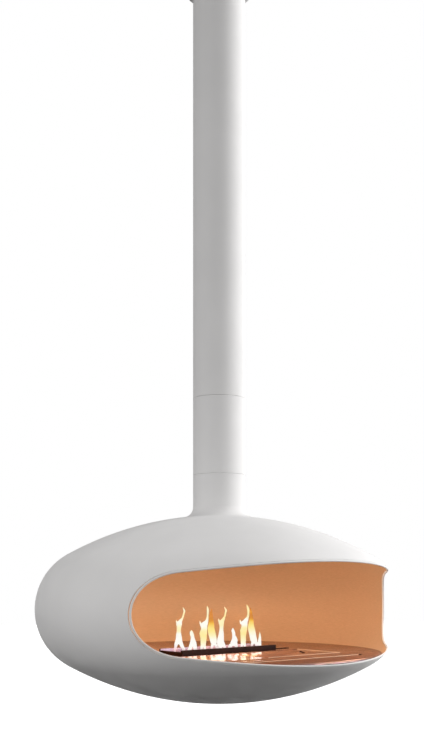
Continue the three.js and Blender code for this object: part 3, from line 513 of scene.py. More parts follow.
def finish_of(name):
    """The named finish, made the first time that it is asked for."""
    if name in bpy.data.materials:
        return bpy.data.materials[name]
    colours = settings().finishes
    if name == "white coat":
        return coated(name, colours.coat, 0.955, (0.66, 0.78), 900.0, 4.0, gloss=0.12)
    if name == "copper satin":
        return metal(
            name, colours.copper, (0.42, 0.52), (60.0, 60.0, 700.0), 3.0, metallic=0.2,
            scratch=0.00002,
        )
    if name == "floor gloss":
        material = coated(name, colours.floor, 0.85, (0.17, 0.22), 260.0, 7.0, 0.000003, gloss=0.2)
        shader = material.node_tree.nodes["Principled BSDF"]
        shader.inputs["Metallic"].default_value = 0.45
        shader.inputs["Specular Tint"].default_value = (0.56, 0.24, 0.10, 1.0)
        return material
    if name == "brown paint":
        return coated(name, colours.bar, 0.62, (0.52, 0.64), 700.0, 22.0, gloss=0.04)
    # Darkened steel whose rose and violet tint is partly heat tint and partly painted flame light
    # reflected by the burner.
    if name == "hot steel with painted flame glow":
        return metal(
            name, shaded(colours.steel, 0.5), (0.34, 0.50), (25.0, 800.0, 800.0), 24.0, tint=0.8
        )
    if name == "bare steel":
        return metal(name, colours.steel, (0.28, 0.42), (25.0, 900.0, 900.0), 11.0)
    if name == "turned steel":
        return metal(name, colours.steel, (0.18, 0.30), (220.0, 220.0, 2200.0), 16.0)
    if name == "zinc plate":
        return metal(name, colours.zinc, (0.30, 0.46), (420.0, 420.0, 420.0), 45.0)
    if name == "bronze":
        return metal(name, colours.bronze, (0.22, 0.40), (180.0, 180.0, 1800.0), 20.0)
    if name == "ceramic fibre":
        return fibre(name, colours.ceramic)
    if name == "seal rubber":
        return coated(name, colours.rubber, 0.7, (0.72, 0.85), 500.0, 40.0)
    if name == "flame":
        return flame_finish(
            name,
            [
                (0.0, (0.62, 0.34, 0.42)),
                (0.14, (0.95, 0.70, 0.72)),
                (0.26, (1.0, 0.98, 0.93)),
                (0.38, (1.0, 0.98, 0.84)),
                (0.52, (1.0, 0.90, 0.52)),
                (0.68, (1.0, 0.80, 0.27)),
                (0.80, (0.92, 0.56, 0.09)),
                (0.90, (0.76, 0.30, 0.05)),
                (1.0, (0.64, 0.22, 0.07)),
            ],
            [(0.0, 0.45), (0.14, 0.85), (0.26, 0.98), (0.75, 0.96), (0.9, 0.8), (1.0, 0.5)],
            0.07,
            3.8,
        )
    if name == "low flame":
        return flame_finish(
            name,
            [(0.0, (0.20, 0.06, 0.07)), (0.5, (0.34, 0.14, 0.16)), (1.0, (0.48, 0.26, 0.26))],
            [(0.0, 0.25), (0.6, 0.25), (1.0, 0.15)],
            0.1,
            1.0,
        )
    raise ValueError(f"there is no finish named {name}")


# ------------------------------------------------------------------ meshes
def place_piece(name, mesh, body, replaced=(), finishes=()):
    """Links a mesh as a piece that rides on a body and stands for the named solids."""
    piece = bpy.data.objects.new(name, mesh)
    bpy.context.scene.collection.objects.link(piece)
    for finish in finishes:
        mesh.materials.append(finish_of(finish))
    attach(piece, body)
    if replaced:
        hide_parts(*replaced)
    return piece


def mesh_from(name, points, faces, level=0.0, sharp=30.0, fronts=None):
    """A smooth mesh of points in millimetres, with edges sharper than an angle kept."""
    mesh = bpy.data.meshes.new(name)
    mesh.from_pydata([(x * MM, y * MM, (z + level) * MM) for x, y, z in points], [], faces)
    if fronts is not None:
        mesh.polygons.foreach_set("material_index", fronts)
    mesh.shade_smooth()
    mesh.set_sharp_from_angle(angle=math.radians(sharp))
    mesh.validate()
    return mesh


def arc(centre, radius, start, end, steps):
    """Points on an arc about (radius, height), its ends included."""
    points = []
    for i in range(steps + 1):
        angle = start + (end - start) * i / steps
        points.append((centre[0] + radius * math.cos(angle), centre[1] + radius * math.sin(angle)))
    return points


def turned(profile, columns):
    """Points and faces of a closed profile of (radius, height) turned about the axis.
    A profile that starts and ends on the axis closes there."""
    points, faces, rows = [], [], []
    for radius, height in profile:
        if radius < 1e-6:
            rows.append([len(points)] * columns)
            points.append((0.0, 0.0, height))
            continue
        row = []
        for i in range(columns):
            angle = 2 * math.pi * i / columns
            row.append(len(points))
            points.append((radius * math.cos(angle), radius * math.sin(angle), height))
        rows.append(row)
    on_axis = profile[0][0] < 1e-6 and profile[-1][0] < 1e-6
    last = len(rows) - 1 if on_axis else len(rows)
    for j in range(last):
        low, high = rows[j], rows[(j + 1) % len(rows)]
        for i in range(columns):
            after = (i + 1) % columns
            corners = [low[i], low[after], high[after], high[i]]
            faces.append([c for k, c in enumerate(corners) if c != corners[k - 1]])
    return points, faces


def moved(points, matrix):
    return [tuple(matrix @ Vector(point)) for point in points]


def merge(*shapes):
    """One list of points and one of faces from several."""
    points, faces = [], []
    for more_points, more_faces in shapes:
        start = len(points)
        points.extend(more_points)
        faces.extend([[start + corner for corner in face] for face in more_faces])
    return points, faces


def circle(x, y, radius, count, turn=1):
    """Points round a circle: anticlockwise, or clockwise for a hole."""
    return [
        (
            x + radius * math.cos(turn * 2 * math.pi * i / count),
            y + radius * math.sin(turn * 2 * math.pi * i / count),
        )
        for i in range(count)
    ]


def rectangle(x0, x1, y0, y1):
    return [(x0, y0), (x1, y0), (x1, y1), (x0, y1)]


def inset_loop(loop, distance):
    """The loop moved towards its left side, which is where the sheet's metal lies."""
    moved_points = []
    count = len(loop)
    for i, (x, y) in enumerate(loop):
        before, after = loop[i - 1], loop[(i + 1) % count]
        into = Vector((x - before[0], y - before[1])).normalized()
        out = Vector((after[0] - x, after[1] - y)).normalized()
        left = Vector((-into.y - out.y, into.x + out.x)).normalized()
        spread_by = max(0.35, left.dot(Vector((-out.y, out.x))))
        moved_points.append((x + left.x * distance / spread_by, y + left.y * distance / spread_by))
    return moved_points


def sheet_metal(outline, holes, low, high, bevel, steps=2):
    """A plate with rounded edges. The outline runs anticlockwise and the holes clockwise."""
    loops = [outline, *holes]
    levels = []
    for k in range(steps + 1):
        angle = math.pi / 2 * k / steps
        levels.append((bevel * (1 - math.sin(angle)), low + bevel * (1 - math.cos(angle))))
    for k in range(steps, -1, -1):
        angle = math.pi / 2 * k / steps
        levels.append((bevel * (1 - math.sin(angle)), high - bevel * (1 - math.cos(angle))))
    points, faces, starts = [], [], []
    for inset, height in levels:
        starts.append(len(points))
        for loop in loops:
            points.extend([(x, y, height) for x, y in inset_loop(loop, inset)])
    lengths = [len(loop) for loop in loops]
    for level in range(len(levels) - 1):
        at = 0
        for length in lengths:
            for i in range(length):
                here, after = at + i, at + (i + 1) % length
                low_row, high_row = starts[level], starts[level + 1]
                faces.append([low_row + here, low_row + after, high_row + after, high_row + here])
            at += length
    flat = [[Vector((x, y, 0)) for x, y in inset_loop(loop, bevel)] for loop in loops]
    for a, b, c in tessellate_polygon(flat):
        upward = (
            (points[b][0] - points[a][0]) * (points[c][1] - points[a][1])
            - (points[b][1] - points[a][1]) * (points[c][0] - points[a][0])
        )
        top = [starts[-1] + a, starts[-1] + b, starts[-1] + c]
        faces.append(top if upward > 0 else top[::-1])
        bottom = [a, c, b]
        faces.append(bottom if upward > 0 else bottom[::-1])
    return points, faces


def screw_head(radius, height, socket, columns=32):
    """A domed screw head with a six-sided socket, its seat at height 0."""
    shoulder = arc((radius - height * 0.35, height * 0.65), height * 0.35, 0, math.pi / 2, 4)
    rings = [(radius, 0.0), *shoulder]
    points, faces = [], []
    for ring_radius, ring_height in rings:
        points.extend((x, y, ring_height) for x, y in circle(0, 0, ring_radius, columns))
    for drop in (height, height * 0.35):
        for i in range(columns):
            angle = 2 * math.pi * i / columns
            side = angle % (math.pi / 3) - math.pi / 6
            reach = socket * math.cos(math.pi / 6) / math.cos(side)
            points.append((reach * math.cos(angle), reach * math.sin(angle), drop))
    row_count = len(rings) + 2
    for row in range(row_count - 1):
        for i in range(columns):
            after = (i + 1) % columns
            a, b = row * columns, (row + 1) * columns
            faces.append([a + i, a + after, b + after, b + i])
    faces.append([(row_count - 1) * columns + i for i in range(columns)])
    faces.append([i for i in range(columns)][::-1])
    return points, faces


# ------------------------------------------------------------------ the double wall
def station(radius, height, normal_radius, normal_height, angle=None):
    return {"r": radius, "z": height, "nr": normal_radius, "nz": normal_height, "angle": angle}


def side_station(angle):
    """A place on the hearth's side: the end arc, at an angle above the widest circle."""
    across, up = math.cos(angle), math.sin(angle)
    return station(END_CENTRE + END_RADIUS * across, END_RADIUS * up, across, up, angle)


def large_station(angle, upper):
    across, up = math.cos(angle), math.sin(angle)
    centre = -LARGE_DROP if upper else LARGE_DROP
    return station(LARGE_RADIUS * across, centre + LARGE_RADIUS * up, across, up)


def steps_between(start, end, count):
    return [start + (end - start) * i / count for i in range(count + 1)]


def shell_stations():
    """The outer face from the bottom pole over the side and dome to the neck's top."""
    line = [large_station(a, False) for a in steps_between(-math.pi / 2, -END_ANGLE, 26)]
    line += [side_station(a) for a in steps_between(-END_ANGLE, END_ANGLE, 60)][1:]
    line += [large_station(a, True) for a in steps_between(END_ANGLE, FILLET_ANGLE, 24)][1:]
    for a in steps_between(math.pi + FILLET_ANGLE, math.pi, 12)[1:]:
        across, up = math.cos(a), math.sin(a)
        line.append(
            station(
                FILLET_RADIUS_AT + NECK_FILLET * across,
                FILLET_HEIGHT + NECK_FILLET * up,
                -across,
                -up,
            )
        )
    for height in (400.0, NECK_TOP - FLANGE_HEIGHT, NECK_TOP - SEAM_CHAMFER):
        line.append(station(TUBE_RADIUS, height, 1.0, 0.0))
    return line


def liner_stations():
    start = math.acos(LANDING_RADIUS / (LARGE_RADIUS - LINER_INNER))
    line = [side_station(a) for a in steps_between(-END_ANGLE, END_ANGLE, 60)]
    line += [large_station(a, True) for a in steps_between(END_ANGLE, start, 22)][1:]
    return line


def outside_opening(angle, side_angle):
    """How far the middle of the wall lies outside the opening's oval there."""
    across = math.cos(side_angle)
    level = END_CENTRE + (END_RADIUS - MID_WALL) * across
    x = abs(level * math.cos(angle))
    z = abs((END_RADIUS - MID_WALL) * math.sin(side_angle))
    if math.atan2(z, x - OPENING_END_CENTRE) < OPENING_MEET:
        return math.hypot(x - OPENING_END_CENTRE, z) - OPENING_END_RADIUS
    return math.hypot(x, z + OPENING_DROP) - OPENING_LARGE_RADIUS


def skin_point(place, angle, offset):
    radius = place["r"] - place["nr"] * offset
    point = (radius * math.cos(angle), radius * math.sin(angle), place["z"] - place["nz"] * offset)
    normal = (place["nr"] * math.cos(angle), place["nr"] * math.sin(angle), place["nz"])
    return point, normal


class Wall:
    """Two skins of one turned wall, cut by the opening and joined along the cut."""

    def __init__(self, line, columns, margin):
        self.line, self.columns, self.margin = line, columns, margin
        self.points, self.normals, self.faces, self.face_normals = [], [], [], []
        self.cut_edges = []

    def angle(self, column):
        return 2 * math.pi * column / self.columns

    def distance(self, column, place):
        angle = self.angle(column % self.columns)
        if place["angle"] is None or not math.pi < angle < 2 * math.pi:
            return 1e6
        return outside_opening(angle, place["angle"]) - self.margin

    def corner(self, index, key, place, column, offset, side):
        if place["r"] < 1e-6:
            key = ("pole", key[2])
        if key not in index:
            point, normal = skin_point(place, self.angle(column), offset)
            index[key] = len(self.points)
            self.points.append(point)
            self.normals.append(tuple(side * n for n in normal))
        return index[key]

    def crossing(self, low, high):
        """The place and column where the cut crosses between two grid corners."""
        (column_a, place_a), (column_b, place_b) = low, high
        start, end = 0.0, 1.0
        inside_start = self.distance(column_a, place_a) < 0
        for _ in range(30):
            middle = (start + end) / 2
            column = column_a + (column_b - column_a) * middle
            place = side_station(
                place_a["angle"] + (place_b["angle"] - place_a["angle"]) * middle
            )
            away = outside_opening(self.angle(column), place["angle"]) - self.margin
            if (away < 0) == inside_start:
                start = middle
            else:
                end = middle
        return column, place

    def skin(self, offset, side):
        """Adds one skin: side 1 faces out and -1 faces in. Returns its corners by grid place."""
        index = {}
        for j in range(len(self.line) - 1):
            for i in range(self.columns):
                grid = [(i, j), (i + 1, j), (i + 1, j + 1), (i, j + 1)]
                away = [self.distance(c, self.line[s]) for c, s in grid]
                if max(away) < 0:
                    continue
                ring, cuts = [], []
                for k in range(4):
                    (c, s), (c2, s2) = grid[k], grid[(k + 1) % 4]
                    if away[k] >= 0:
                        key = ("grid", c % self.columns, s)
                        ring.append(self.corner(index, key, self.line[s], c, offset, side))
                    if (away[k] >= 0) != (away[(k + 1) % 4] >= 0):
                        low, high = sorted(((c, s), (c2, s2)))
                        column, place = self.crossing(
                            (low[0], self.line[low[1]]), (high[0], self.line[high[1]])
                        )
                        key = ("cut", low, high)
                        ring.append(self.corner(index, key, place, column, offset, side))
                        cuts.append((away[k] >= 0, key))
                ring = [c for k, c in enumerate(ring) if c != ring[k - 1]]
                if len(ring) > 2:
                    self.faces.append(ring if side > 0 else ring[::-1])
                    self.face_normals.append(None)
                if side > 0 and len(cuts) == 2:
                    leaving = [key for leaves, key in cuts if leaves][0]
                    entering = [key for leaves, key in cuts if not leaves][0]
                    self.cut_edges.append((leaving, entering))
        return index

    def join_cut(self, outer, inner):
        for leaving, entering in self.cut_edges:
            face = [outer[entering], outer[leaving], inner[leaving], inner[entering]]
            self.flat(face)

    def flat(self, face):
        a, b, c = (Vector(self.points[corner]) for corner in face[:3])
        self.faces.append(face)
        self.face_normals.append(tuple((b - a).cross(c - a).normalized()))

    def ring(self, radius, height):
        row = []
        for i in range(self.columns):
            row.append(len(self.points))
            self.points.append(
                (radius * math.cos(self.angle(i)), radius * math.sin(self.angle(i)), height)
            )
            self.normals.append((0.0, 0.0, 1.0))
        return row

    def grid_row(self, index, s):
        return [index[("grid", i, s)] for i in range(self.columns)]

    def band(self, low, high):
        """Flat faces between two rows; low to high turns from the outside over to the inside."""
        for i in range(self.columns):
            after = (i + 1) % self.columns
            self.flat([low[i], low[after], high[after], high[i]])

    def mesh(self, name):
        made = bpy.data.meshes.new(name)
        made.from_pydata(
            [(x * MM, y * MM, (z + HEARTH_LEVEL) * MM) for x, y, z in self.points], [], self.faces
        )
        made.shade_smooth()
        loop_normals = []
        for face, flat_normal in zip(self.faces, self.face_normals):
            loop_normals.extend([flat_normal or self.normals[corner] for corner in face])
        made.normals_split_custom_set(loop_normals)
        return made


def rim_path(count):
    """The opening's edge in the middle of the wall, with the directions square to it."""
    meet = OPENING_MEET
    pieces = [
        ((OPENING_END_CENTRE, 0.0), OPENING_END_RADIUS, -meet, meet),
        ((0.0, -OPENING_DROP), OPENING_LARGE_RADIUS, meet, math.pi - meet),
        ((-OPENING_END_CENTRE, 0.0), OPENING_END_RADIUS, math.pi - meet, math.pi + meet),
        ((0.0, OPENING_DROP), OPENING_LARGE_RADIUS, math.pi + meet, 2 * math.pi - meet),
    ]
    flat = []
    for centre, radius, start, end in pieces:
        flat.extend(arc(centre, radius, start, end, count // 4)[1:])
    places = []
    for x, z in flat:
        side_angle = math.asin(z / (END_RADIUS - MID_WALL))
        level = END_CENTRE + (END_RADIUS - MID_WALL) * math.cos(side_angle)
        y = -math.sqrt(level**2 - x**2)
        out = Vector((
            math.cos(side_angle) * x / level, math.cos(side_angle) * y / level, math.sin(side_angle)
        ))
        places.append((Vector((x, y, z)), out))
    framed = []
    for i, (point, out) in enumerate(places):
        along = (places[(i + 1) % len(places)][0] - places[i - 1][0]).normalized()
        square = (out - along * out.dot(along)).normalized()
        framed.append((point, square, along.cross(square)))
    return framed


# ------------------------------------------------------------------ operators
class FireplaceOperator:
    bl_options = {"REGISTER", "UNDO"}


class FIREPLACE_OT_ceiling_rose(FireplaceOperator, bpy.types.Operator):
    """Makes the round rose that covers the ceiling plate, and its screws"""

    bl_idname = "fireplace.ceiling_rose"
    bl_label = "Ceiling Rose"

    def execute(self, context):
        inner = ROSE_RADIUS - ROSE_WALL
        hole = TUBE_RADIUS + ROSE_TUBE_FIT
        bend = (ROSE_RADIUS - ROSE_EDGE, -ROSE_HEIGHT + ROSE_EDGE)
        profile = [
            (hole, -ROSE_HEIGHT + ROSE_WALL),
            *arc(bend, ROSE_EDGE - ROSE_WALL, -math.pi / 2, 0, 8),
            (inner, -SEAT_GAP),
            (ROSE_RADIUS, -SEAT_GAP),
            *arc(bend, ROSE_EDGE, 0, -math.pi / 2, 12),
            (hole, -ROSE_HEIGHT),
        ]
        points, faces = turned(profile[::-1], 160)
        mesh = mesh_from("ceiling_rose_shell", points, faces)
        place_piece(
            "rose_shell", mesh, "ceiling", ["ceiling_rose"], ["white coat"]
        )
        for number in range(ROSE_SCREWS):
            turn = math.pi / 6 + 2 * math.pi * number / ROSE_SCREWS
            seat = (
                Matrix.Rotation(turn, 4, "Z")
                @ Matrix.Translation((ROSE_RADIUS + 0.1, 0, -ROSE_SCREW_DROP))
                @ Matrix.Rotation(math.pi / 2, 4, "Y")
            )
            points, faces = screw_head(ROSE_SCREW_HEAD, 2.2, 1.7)
            mesh = mesh_from(f"rose_screw_head_{number + 1}", moved(points, seat), faces)
            place_piece(
                f"rose_screw_head_{number + 1}", mesh, "ceiling",
                [f"rose_screw_{number + 1}"], ["zinc plate"],
            )
        return {"FINISHED"}


class FIREPLACE_OT_tubes(FireplaceOperator, bpy.types.Operator):
    """Makes the long hanger tube and the short swivel tube, with their chamfered joints"""

    bl_idname = "fireplace.tubes"
    bl_label = "Hanger and Swivel Tubes"

    def execute(self, context):
        bottom = SWIVEL_SEAM + SWIVEL_SEAM_GAP / 2
        hanger = [
            (TUBE_BORE, bottom),
            (TUBE_RADIUS - SEAM_CHAMFER, bottom),
            (TUBE_RADIUS, bottom + SEAM_CHAMFER),
            (TUBE_RADIUS, TUBE_TOP),
            (TUBE_BORE, TUBE_TOP),
        ]
        points, faces = turned(hanger, 128)
        mesh = mesh_from("hanger_tube_fine", points, faces)
        place_piece("upper_tube", mesh, "ceiling", ["hanger_tube"], ["white coat"])
        top = SWIVEL_SEAM - SWIVEL_SEAM_GAP / 2
        bottom = NECK_SEAM + NECK_SEAM_GAP / 2
        swivel = [
            (FLANGE_BORE, bottom),
            (TUBE_RADIUS - SEAM_CHAMFER, bottom),
            (TUBE_RADIUS, bottom + SEAM_CHAMFER),
            (TUBE_RADIUS, top - SEAM_CHAMFER),
            (TUBE_RADIUS - SEAM_CHAMFER, top),
            (TUBE_BORE, top),
            (TUBE_BORE, TUBE_FLANGE_TOP),
            (FLANGE_BORE, TUBE_FLANGE_TOP),
            (FLANGE_BORE, TUBE_FLANGE_TOP - FLANGE_HEIGHT),
            (TUBE_BORE, TUBE_FLANGE_TOP - FLANGE_HEIGHT),
            (TUBE_BORE, bottom + FLANGE_HEIGHT),
            (FLANGE_BORE, bottom + FLANGE_HEIGHT),
        ]
        points, faces = turned(swivel, 128)
        mesh = mesh_from("swivel_tube_fine", points, faces)
        place_piece("swivel_sleeve", mesh, "hearth", ["swivel_tube"], ["white coat"])
        return {"FINISHED"}


class FIREPLACE_OT_shell(FireplaceOperator, bpy.types.Operator):
    """Makes the white outer shell, from the neck to the bottom of the bowl"""

    bl_idname = "fireplace.shell"
    bl_label = "Hearth Shell"

    def execute(self, context):
        wall = Wall(shell_stations(), settings().sizes.columns, RIM_TAIL - RIM_LAP)
        outer = wall.skin(0.0, 1)
        inner = wall.skin(SHELL_WALL, -1)
        wall.join_cut(outer, inner)
        last = len(wall.line) - 1
        under = NECK_TOP - FLANGE_HEIGHT
        rows = [
            wall.grid_row(outer, last),
            wall.ring(TUBE_RADIUS - SEAM_CHAMFER, NECK_TOP),
            wall.ring(FLANGE_BORE, NECK_TOP),
            wall.ring(FLANGE_BORE, under),
            wall.grid_row(inner, last),
        ]
        for low, high in zip(rows, rows[1:]):
            wall.band(low, high)
        place_piece(
            "shell_skin", wall.mesh("hearth_shell_fine"), "hearth",
            ["hearth_shell"], ["white coat"],
        )
        return {"FINISHED"}


class FIREPLACE_OT_liner(FireplaceOperator, bpy.types.Operator):
    """Makes the satin copper liner and the round cover in its dome"""

    bl_idname = "fireplace.liner"
    bl_label = "Hearth Liner"

    def execute(self, context):
        wall = Wall(liner_stations(), settings().sizes.columns, RIM_TAIL - RIM_LAP)
        outer = wall.skin(LINER_OUTER, 1)
        inner = wall.skin(LINER_INNER, -1)
        wall.join_cut(outer, inner)
        last = len(wall.line) - 1
        wall.band(wall.grid_row(inner, 0), wall.grid_row(outer, 0))
        outer_top = wall.points[wall.grid_row(outer, last)[0]][2]
        inner_top = wall.points[wall.grid_row(inner, last)[0]][2]
        rows = [
            wall.grid_row(outer, last),
            wall.ring(LANDING_HOLE, outer_top),
            wall.ring(LANDING_HOLE, inner_top),
            wall.grid_row(inner, last),
        ]
        for low, high in zip(rows, rows[1:]):
            wall.band(low, high)
        place_piece(
            "liner_skin", wall.mesh("hearth_liner_fine"), "hearth",
            ["hearth_liner"], ["copper satin"],
        )
        self.cover(inner_top - SEAT_GAP)
        return {"FINISHED"}

    def cover(self, top):
        bottom = top - COVER_THICKNESS
        edge = 0.7
        profile = [
            (0.0, bottom),
            *arc((COVER_RADIUS - edge, bottom + edge), edge, -math.pi / 2, 0, 4),
            *arc((COVER_RADIUS - edge, top - edge), edge, 0, math.pi / 2, 4),
            (0.0, top),
        ]
        points, faces = turned(profile, 128)
        mesh = mesh_from("access_cover_fine", points, faces, HEARTH_LEVEL)
        place_piece(
            "cover_disc", mesh, "hearth", ["access_cover"], ["copper satin"]
        )
        for number in range(3):
            turn = math.pi / 2 + 2 * math.pi * number / 3
            seat = (
                Matrix.Rotation(turn, 4, "Z")
                @ Matrix.Translation((COVER_SCREW_CIRCLE, 0, bottom - 0.1 + HEARTH_LEVEL))
                @ Matrix.Rotation(math.pi, 4, "X")
            )
            points, faces = screw_head(COVER_SCREW_HEAD, 3.0, 2.1)
            mesh = mesh_from(f"cover_screw_head_{number + 1}", moved(points, seat), faces)
            place_piece(
                f"cover_screw_head_{number + 1}", mesh, "hearth",
                [f"cover_screw_{number + 1}"], ["zinc plate"],
            )


class FIREPLACE_OT_rim(FireplaceOperator, bpy.types.Operator):
    """Makes the rolled white lip that joins shell and liner round the opening"""

    bl_idname = "fireplace.rim"
    bl_label = "Opening Rim"

    def execute(self, context):
        bead = settings().sizes.bead_radius / MM
        half = MID_WALL
        section = [(RIM_TAIL, half), (RIM_TAIL / 2, half)]
        for k in range(17):
            angle = math.pi / 2 + math.pi * k / 16
            section.append((bead * math.cos(angle), half * math.sin(angle)))
        section += [(RIM_TAIL / 2, -half), (RIM_TAIL, -half)]
        path = rim_path(480)
        points, faces = [], []
        for point, out, across in path:
            for away, outwards in section:
                points.append(tuple(point + out * outwards + across * away))
        sides = len(section)
        for ring in range(len(path)):
            here, there = ring * sides, (ring + 1) % len(path) * sides
            for side in range(sides):
                after = (side + 1) % sides
                faces.append([here + side, there + side, there + after, here + after])
        mesh = mesh_from("opening_rim_fine", points, faces, HEARTH_LEVEL, sharp=50)
        place_piece(
            "rolled_lip", mesh, "hearth", ["opening_rim"], ["white coat"]
        )
        return {"FINISHED"}


def barrels(first):
    """The hinge's barrels from one of its two leaves."""
    length = (HATCH_RIGHT - HATCH_LEFT) / KNUCKLES
    shapes = []
    for number in range(first, KNUCKLES, 2):
        start = HATCH_LEFT + number * length + KNUCKLE_GAP / 2
        end = start + length - KNUCKLE_GAP
        edge = 0.4
        profile = [
            (0.0, start),
            (BARREL - edge, start),
            (BARREL, start + edge),
            (BARREL, end - edge),
            (BARREL - edge, end),
            (0.0, end),
        ]
        points, faces = turned(profile, 28)
        lying = (
            Matrix.Translation((0, HINGE_Y, FLOOR_TOP - FLOOR_THICKNESS / 2))
            @ Matrix.Rotation(math.pi / 2, 4, "Y")
        )
        shapes.append((moved(points, lying), faces))
    return shapes


def hinge_tabs(first, from_right):
    """Start and end of each of a leaf's tabs along the hinge, in drawing order."""
    length = (HATCH_RIGHT - HATCH_LEFT) / KNUCKLES
    spans = []
    for number in range(first, KNUCKLES, 2):
        start = HATCH_LEFT + number * length + KNUCKLE_GAP / 2
        spans.append((start, start + length - KNUCKLE_GAP))
    return [(b, a) for a, b in spans[::-1]] if from_right else spans


class FIREPLACE_OT_floor(FireplaceOperator, bpy.types.Operator):
    """Makes the glossy floor with its slit, slot and hatch hole, and the hinged hatch"""

    bl_idname = "fireplace.floor"
    bl_label = "Floor and Hatch"

    def execute(self, context):
        bevel = settings().sizes.plate_bevel / MM
        low = FLOOR_TOP - FLOOR_THICKNESS
        slit_start = math.pi + math.asin(-(SLIT_Y + SLIT_HALF) / FLOOR_RADIUS)
        slit_after = math.pi + math.asin(-(SLIT_Y - SLIT_HALF) / FLOOR_RADIUS)
        outline = []
        sweep = 2 * math.pi - (slit_after - slit_start)
        for i in range(261):
            angle = slit_after + sweep * i / 260
            outline.append((FLOOR_RADIUS * math.cos(angle), FLOOR_RADIUS * math.sin(angle)))
        open_angle = math.asin(SLIT_HALF / RELIEF_HOLE)
        for i in range(25):
            angle = math.pi - open_angle - (2 * math.pi - 2 * open_angle) * i / 24
            outline.append((
                SLIT_END + RELIEF_HOLE * math.cos(angle), SLIT_Y + RELIEF_HOLE * math.sin(angle)
            ))
        back = HINGE_Y + BARREL + HINGE_CLEARANCE
        left, right = HATCH_LEFT - HATCH_GAP, HATCH_RIGHT + HATCH_GAP
        hatch_hole = [(left, HATCH_FRONT - HATCH_GAP), (left, back)]
        for start, end in hinge_tabs(1, False):
            hatch_hole += [(start, back), (start, HINGE_Y), (end, HINGE_Y), (end, back)]
        hatch_hole += [(right, back), (right, HATCH_FRONT - HATCH_GAP)]
        holes = [
            hatch_hole,
            rectangle(*BURNER_HOLE)[::-1],
            rectangle(*TAB_SLOT)[::-1],
        ]
        screw_places = []
        for number in range(4):
            turn = math.pi / 4 + math.pi / 2 * number
            screw_places.append(
                (FLOOR_SCREW_CIRCLE * math.cos(turn), FLOOR_SCREW_CIRCLE * math.sin(turn))
            )
        holes += [circle(x, y, FLOOR_SCREW_HEAD + 0.5, 24, -1) for x, y in screw_places]
        plate = sheet_metal(outline, holes, low, FLOOR_TOP, bevel)
        points, faces = merge(plate, *barrels(1))
        mesh = mesh_from("floor_plate_fine", points, faces, HEARTH_LEVEL)
        place_piece(
            "floor_disc", mesh, "hearth", ["floor_plate"], ["floor gloss"]
        )
        for number, (x, y) in enumerate(screw_places):
            head = screw_head(FLOOR_SCREW_HEAD, 2.0, 2.2)
            seat = Matrix.Translation((x, y, FLOOR_TOP - 2.2 + HEARTH_LEVEL))
            mesh = mesh_from(f"floor_screw_head_{number + 1}", moved(head[0], seat), head[1])
            place_piece(
                f"floor_screw_head_{number + 1}", mesh, "hearth",
                [f"floor_screw_{number + 1}"], ["floor gloss"],
            )
        self.hatch(low, bevel)
        self.collar("slit_collar", SLIT_END, SLIT_Y, RELIEF_HOLE, "hearth")
        for number, (x, y) in enumerate(FINGER_HOLES):
            self.collar(f"hook_collar_{number + 1}", x, y, FINGER_HOLE, "hatch")
        self.trims()
        return {"FINISHED"}

    def collar(self, name, x, y, hole, body):
        """A low dark ring round a hole in the floor."""
        outer, edge, low = hole + COLLAR_WIDTH, 0.5, FLOOR_TOP + LAID_GAP
        top = low + COLLAR_HEIGHT
        profile = [
            (hole, low),
            (outer, low),
            *arc((outer - edge, top - edge), edge, 0, math.pi / 2, 4),
            *arc((hole + edge, top - edge), edge, math.pi / 2, math.pi, 4),
        ]
        points, faces = turned(profile, 32)
        points = moved(points, Matrix.Translation((x, y, 0)))
        mesh = mesh_from(name, points, faces, HEARTH_LEVEL)
        place_piece(name, mesh, body, (), ["brown paint"])

    def trims(self):
        """Thin raised strips: satin copper beside the hatch and the slit, whose pale copper paints
        the highlights along these edges, and dark round the slot.
        """
        low = FLOOR_TOP + LAID_GAP
        high = low + TRIM_HEIGHT
        clear = HATCH_GAP + TRIM_GAP
        left, right = HATCH_LEFT - clear, HATCH_RIGHT + clear
        front, back = HATCH_FRONT - clear, HINGE_Y - BARREL - HINGE_CLEARANCE
        outline = [
            (left, front), (left, front - TRIM_WIDTH), (right + TRIM_WIDTH, front - TRIM_WIDTH),
            (right + TRIM_WIDTH, back), (right, back), (right, front),
        ]
        # Pale copper strips beside the hatch and along the slit: painted highlights on these edges.
        beside_hatch = sheet_metal(outline, [], low, high, TRIM_EDGE)
        reach = -math.sqrt((FLOOR_RADIUS - 6.0) ** 2 - SLIT_Y**2)
        near = SLIT_Y + SLIT_HALF + TRIM_GAP
        outline = rectangle(reach, SLIT_END - RELIEF_HOLE - 3.0, near, near + TRIM_WIDTH)
        along_slit = sheet_metal(outline, [], low, high, TRIM_EDGE)
        points, faces = merge(beside_hatch, along_slit)
        mesh = mesh_from("floor_highlight_trims", points, faces, HEARTH_LEVEL)
        place_piece("floor_highlight_trims", mesh, "hearth", (), ["copper satin"])
        x0, x1, y0, y1 = TAB_SLOT
        outline = rectangle(x0 - TRIM_WIDTH, x1 + TRIM_WIDTH, y0 - TRIM_WIDTH, y1 + TRIM_WIDTH)
        points, faces = sheet_metal(outline, [rectangle(*TAB_SLOT)[::-1]], low, high, TRIM_EDGE)
        mesh = mesh_from("slot_edge", points, faces, HEARTH_LEVEL)
        place_piece("slot_edge", mesh, "hearth", (), ["brown paint"])

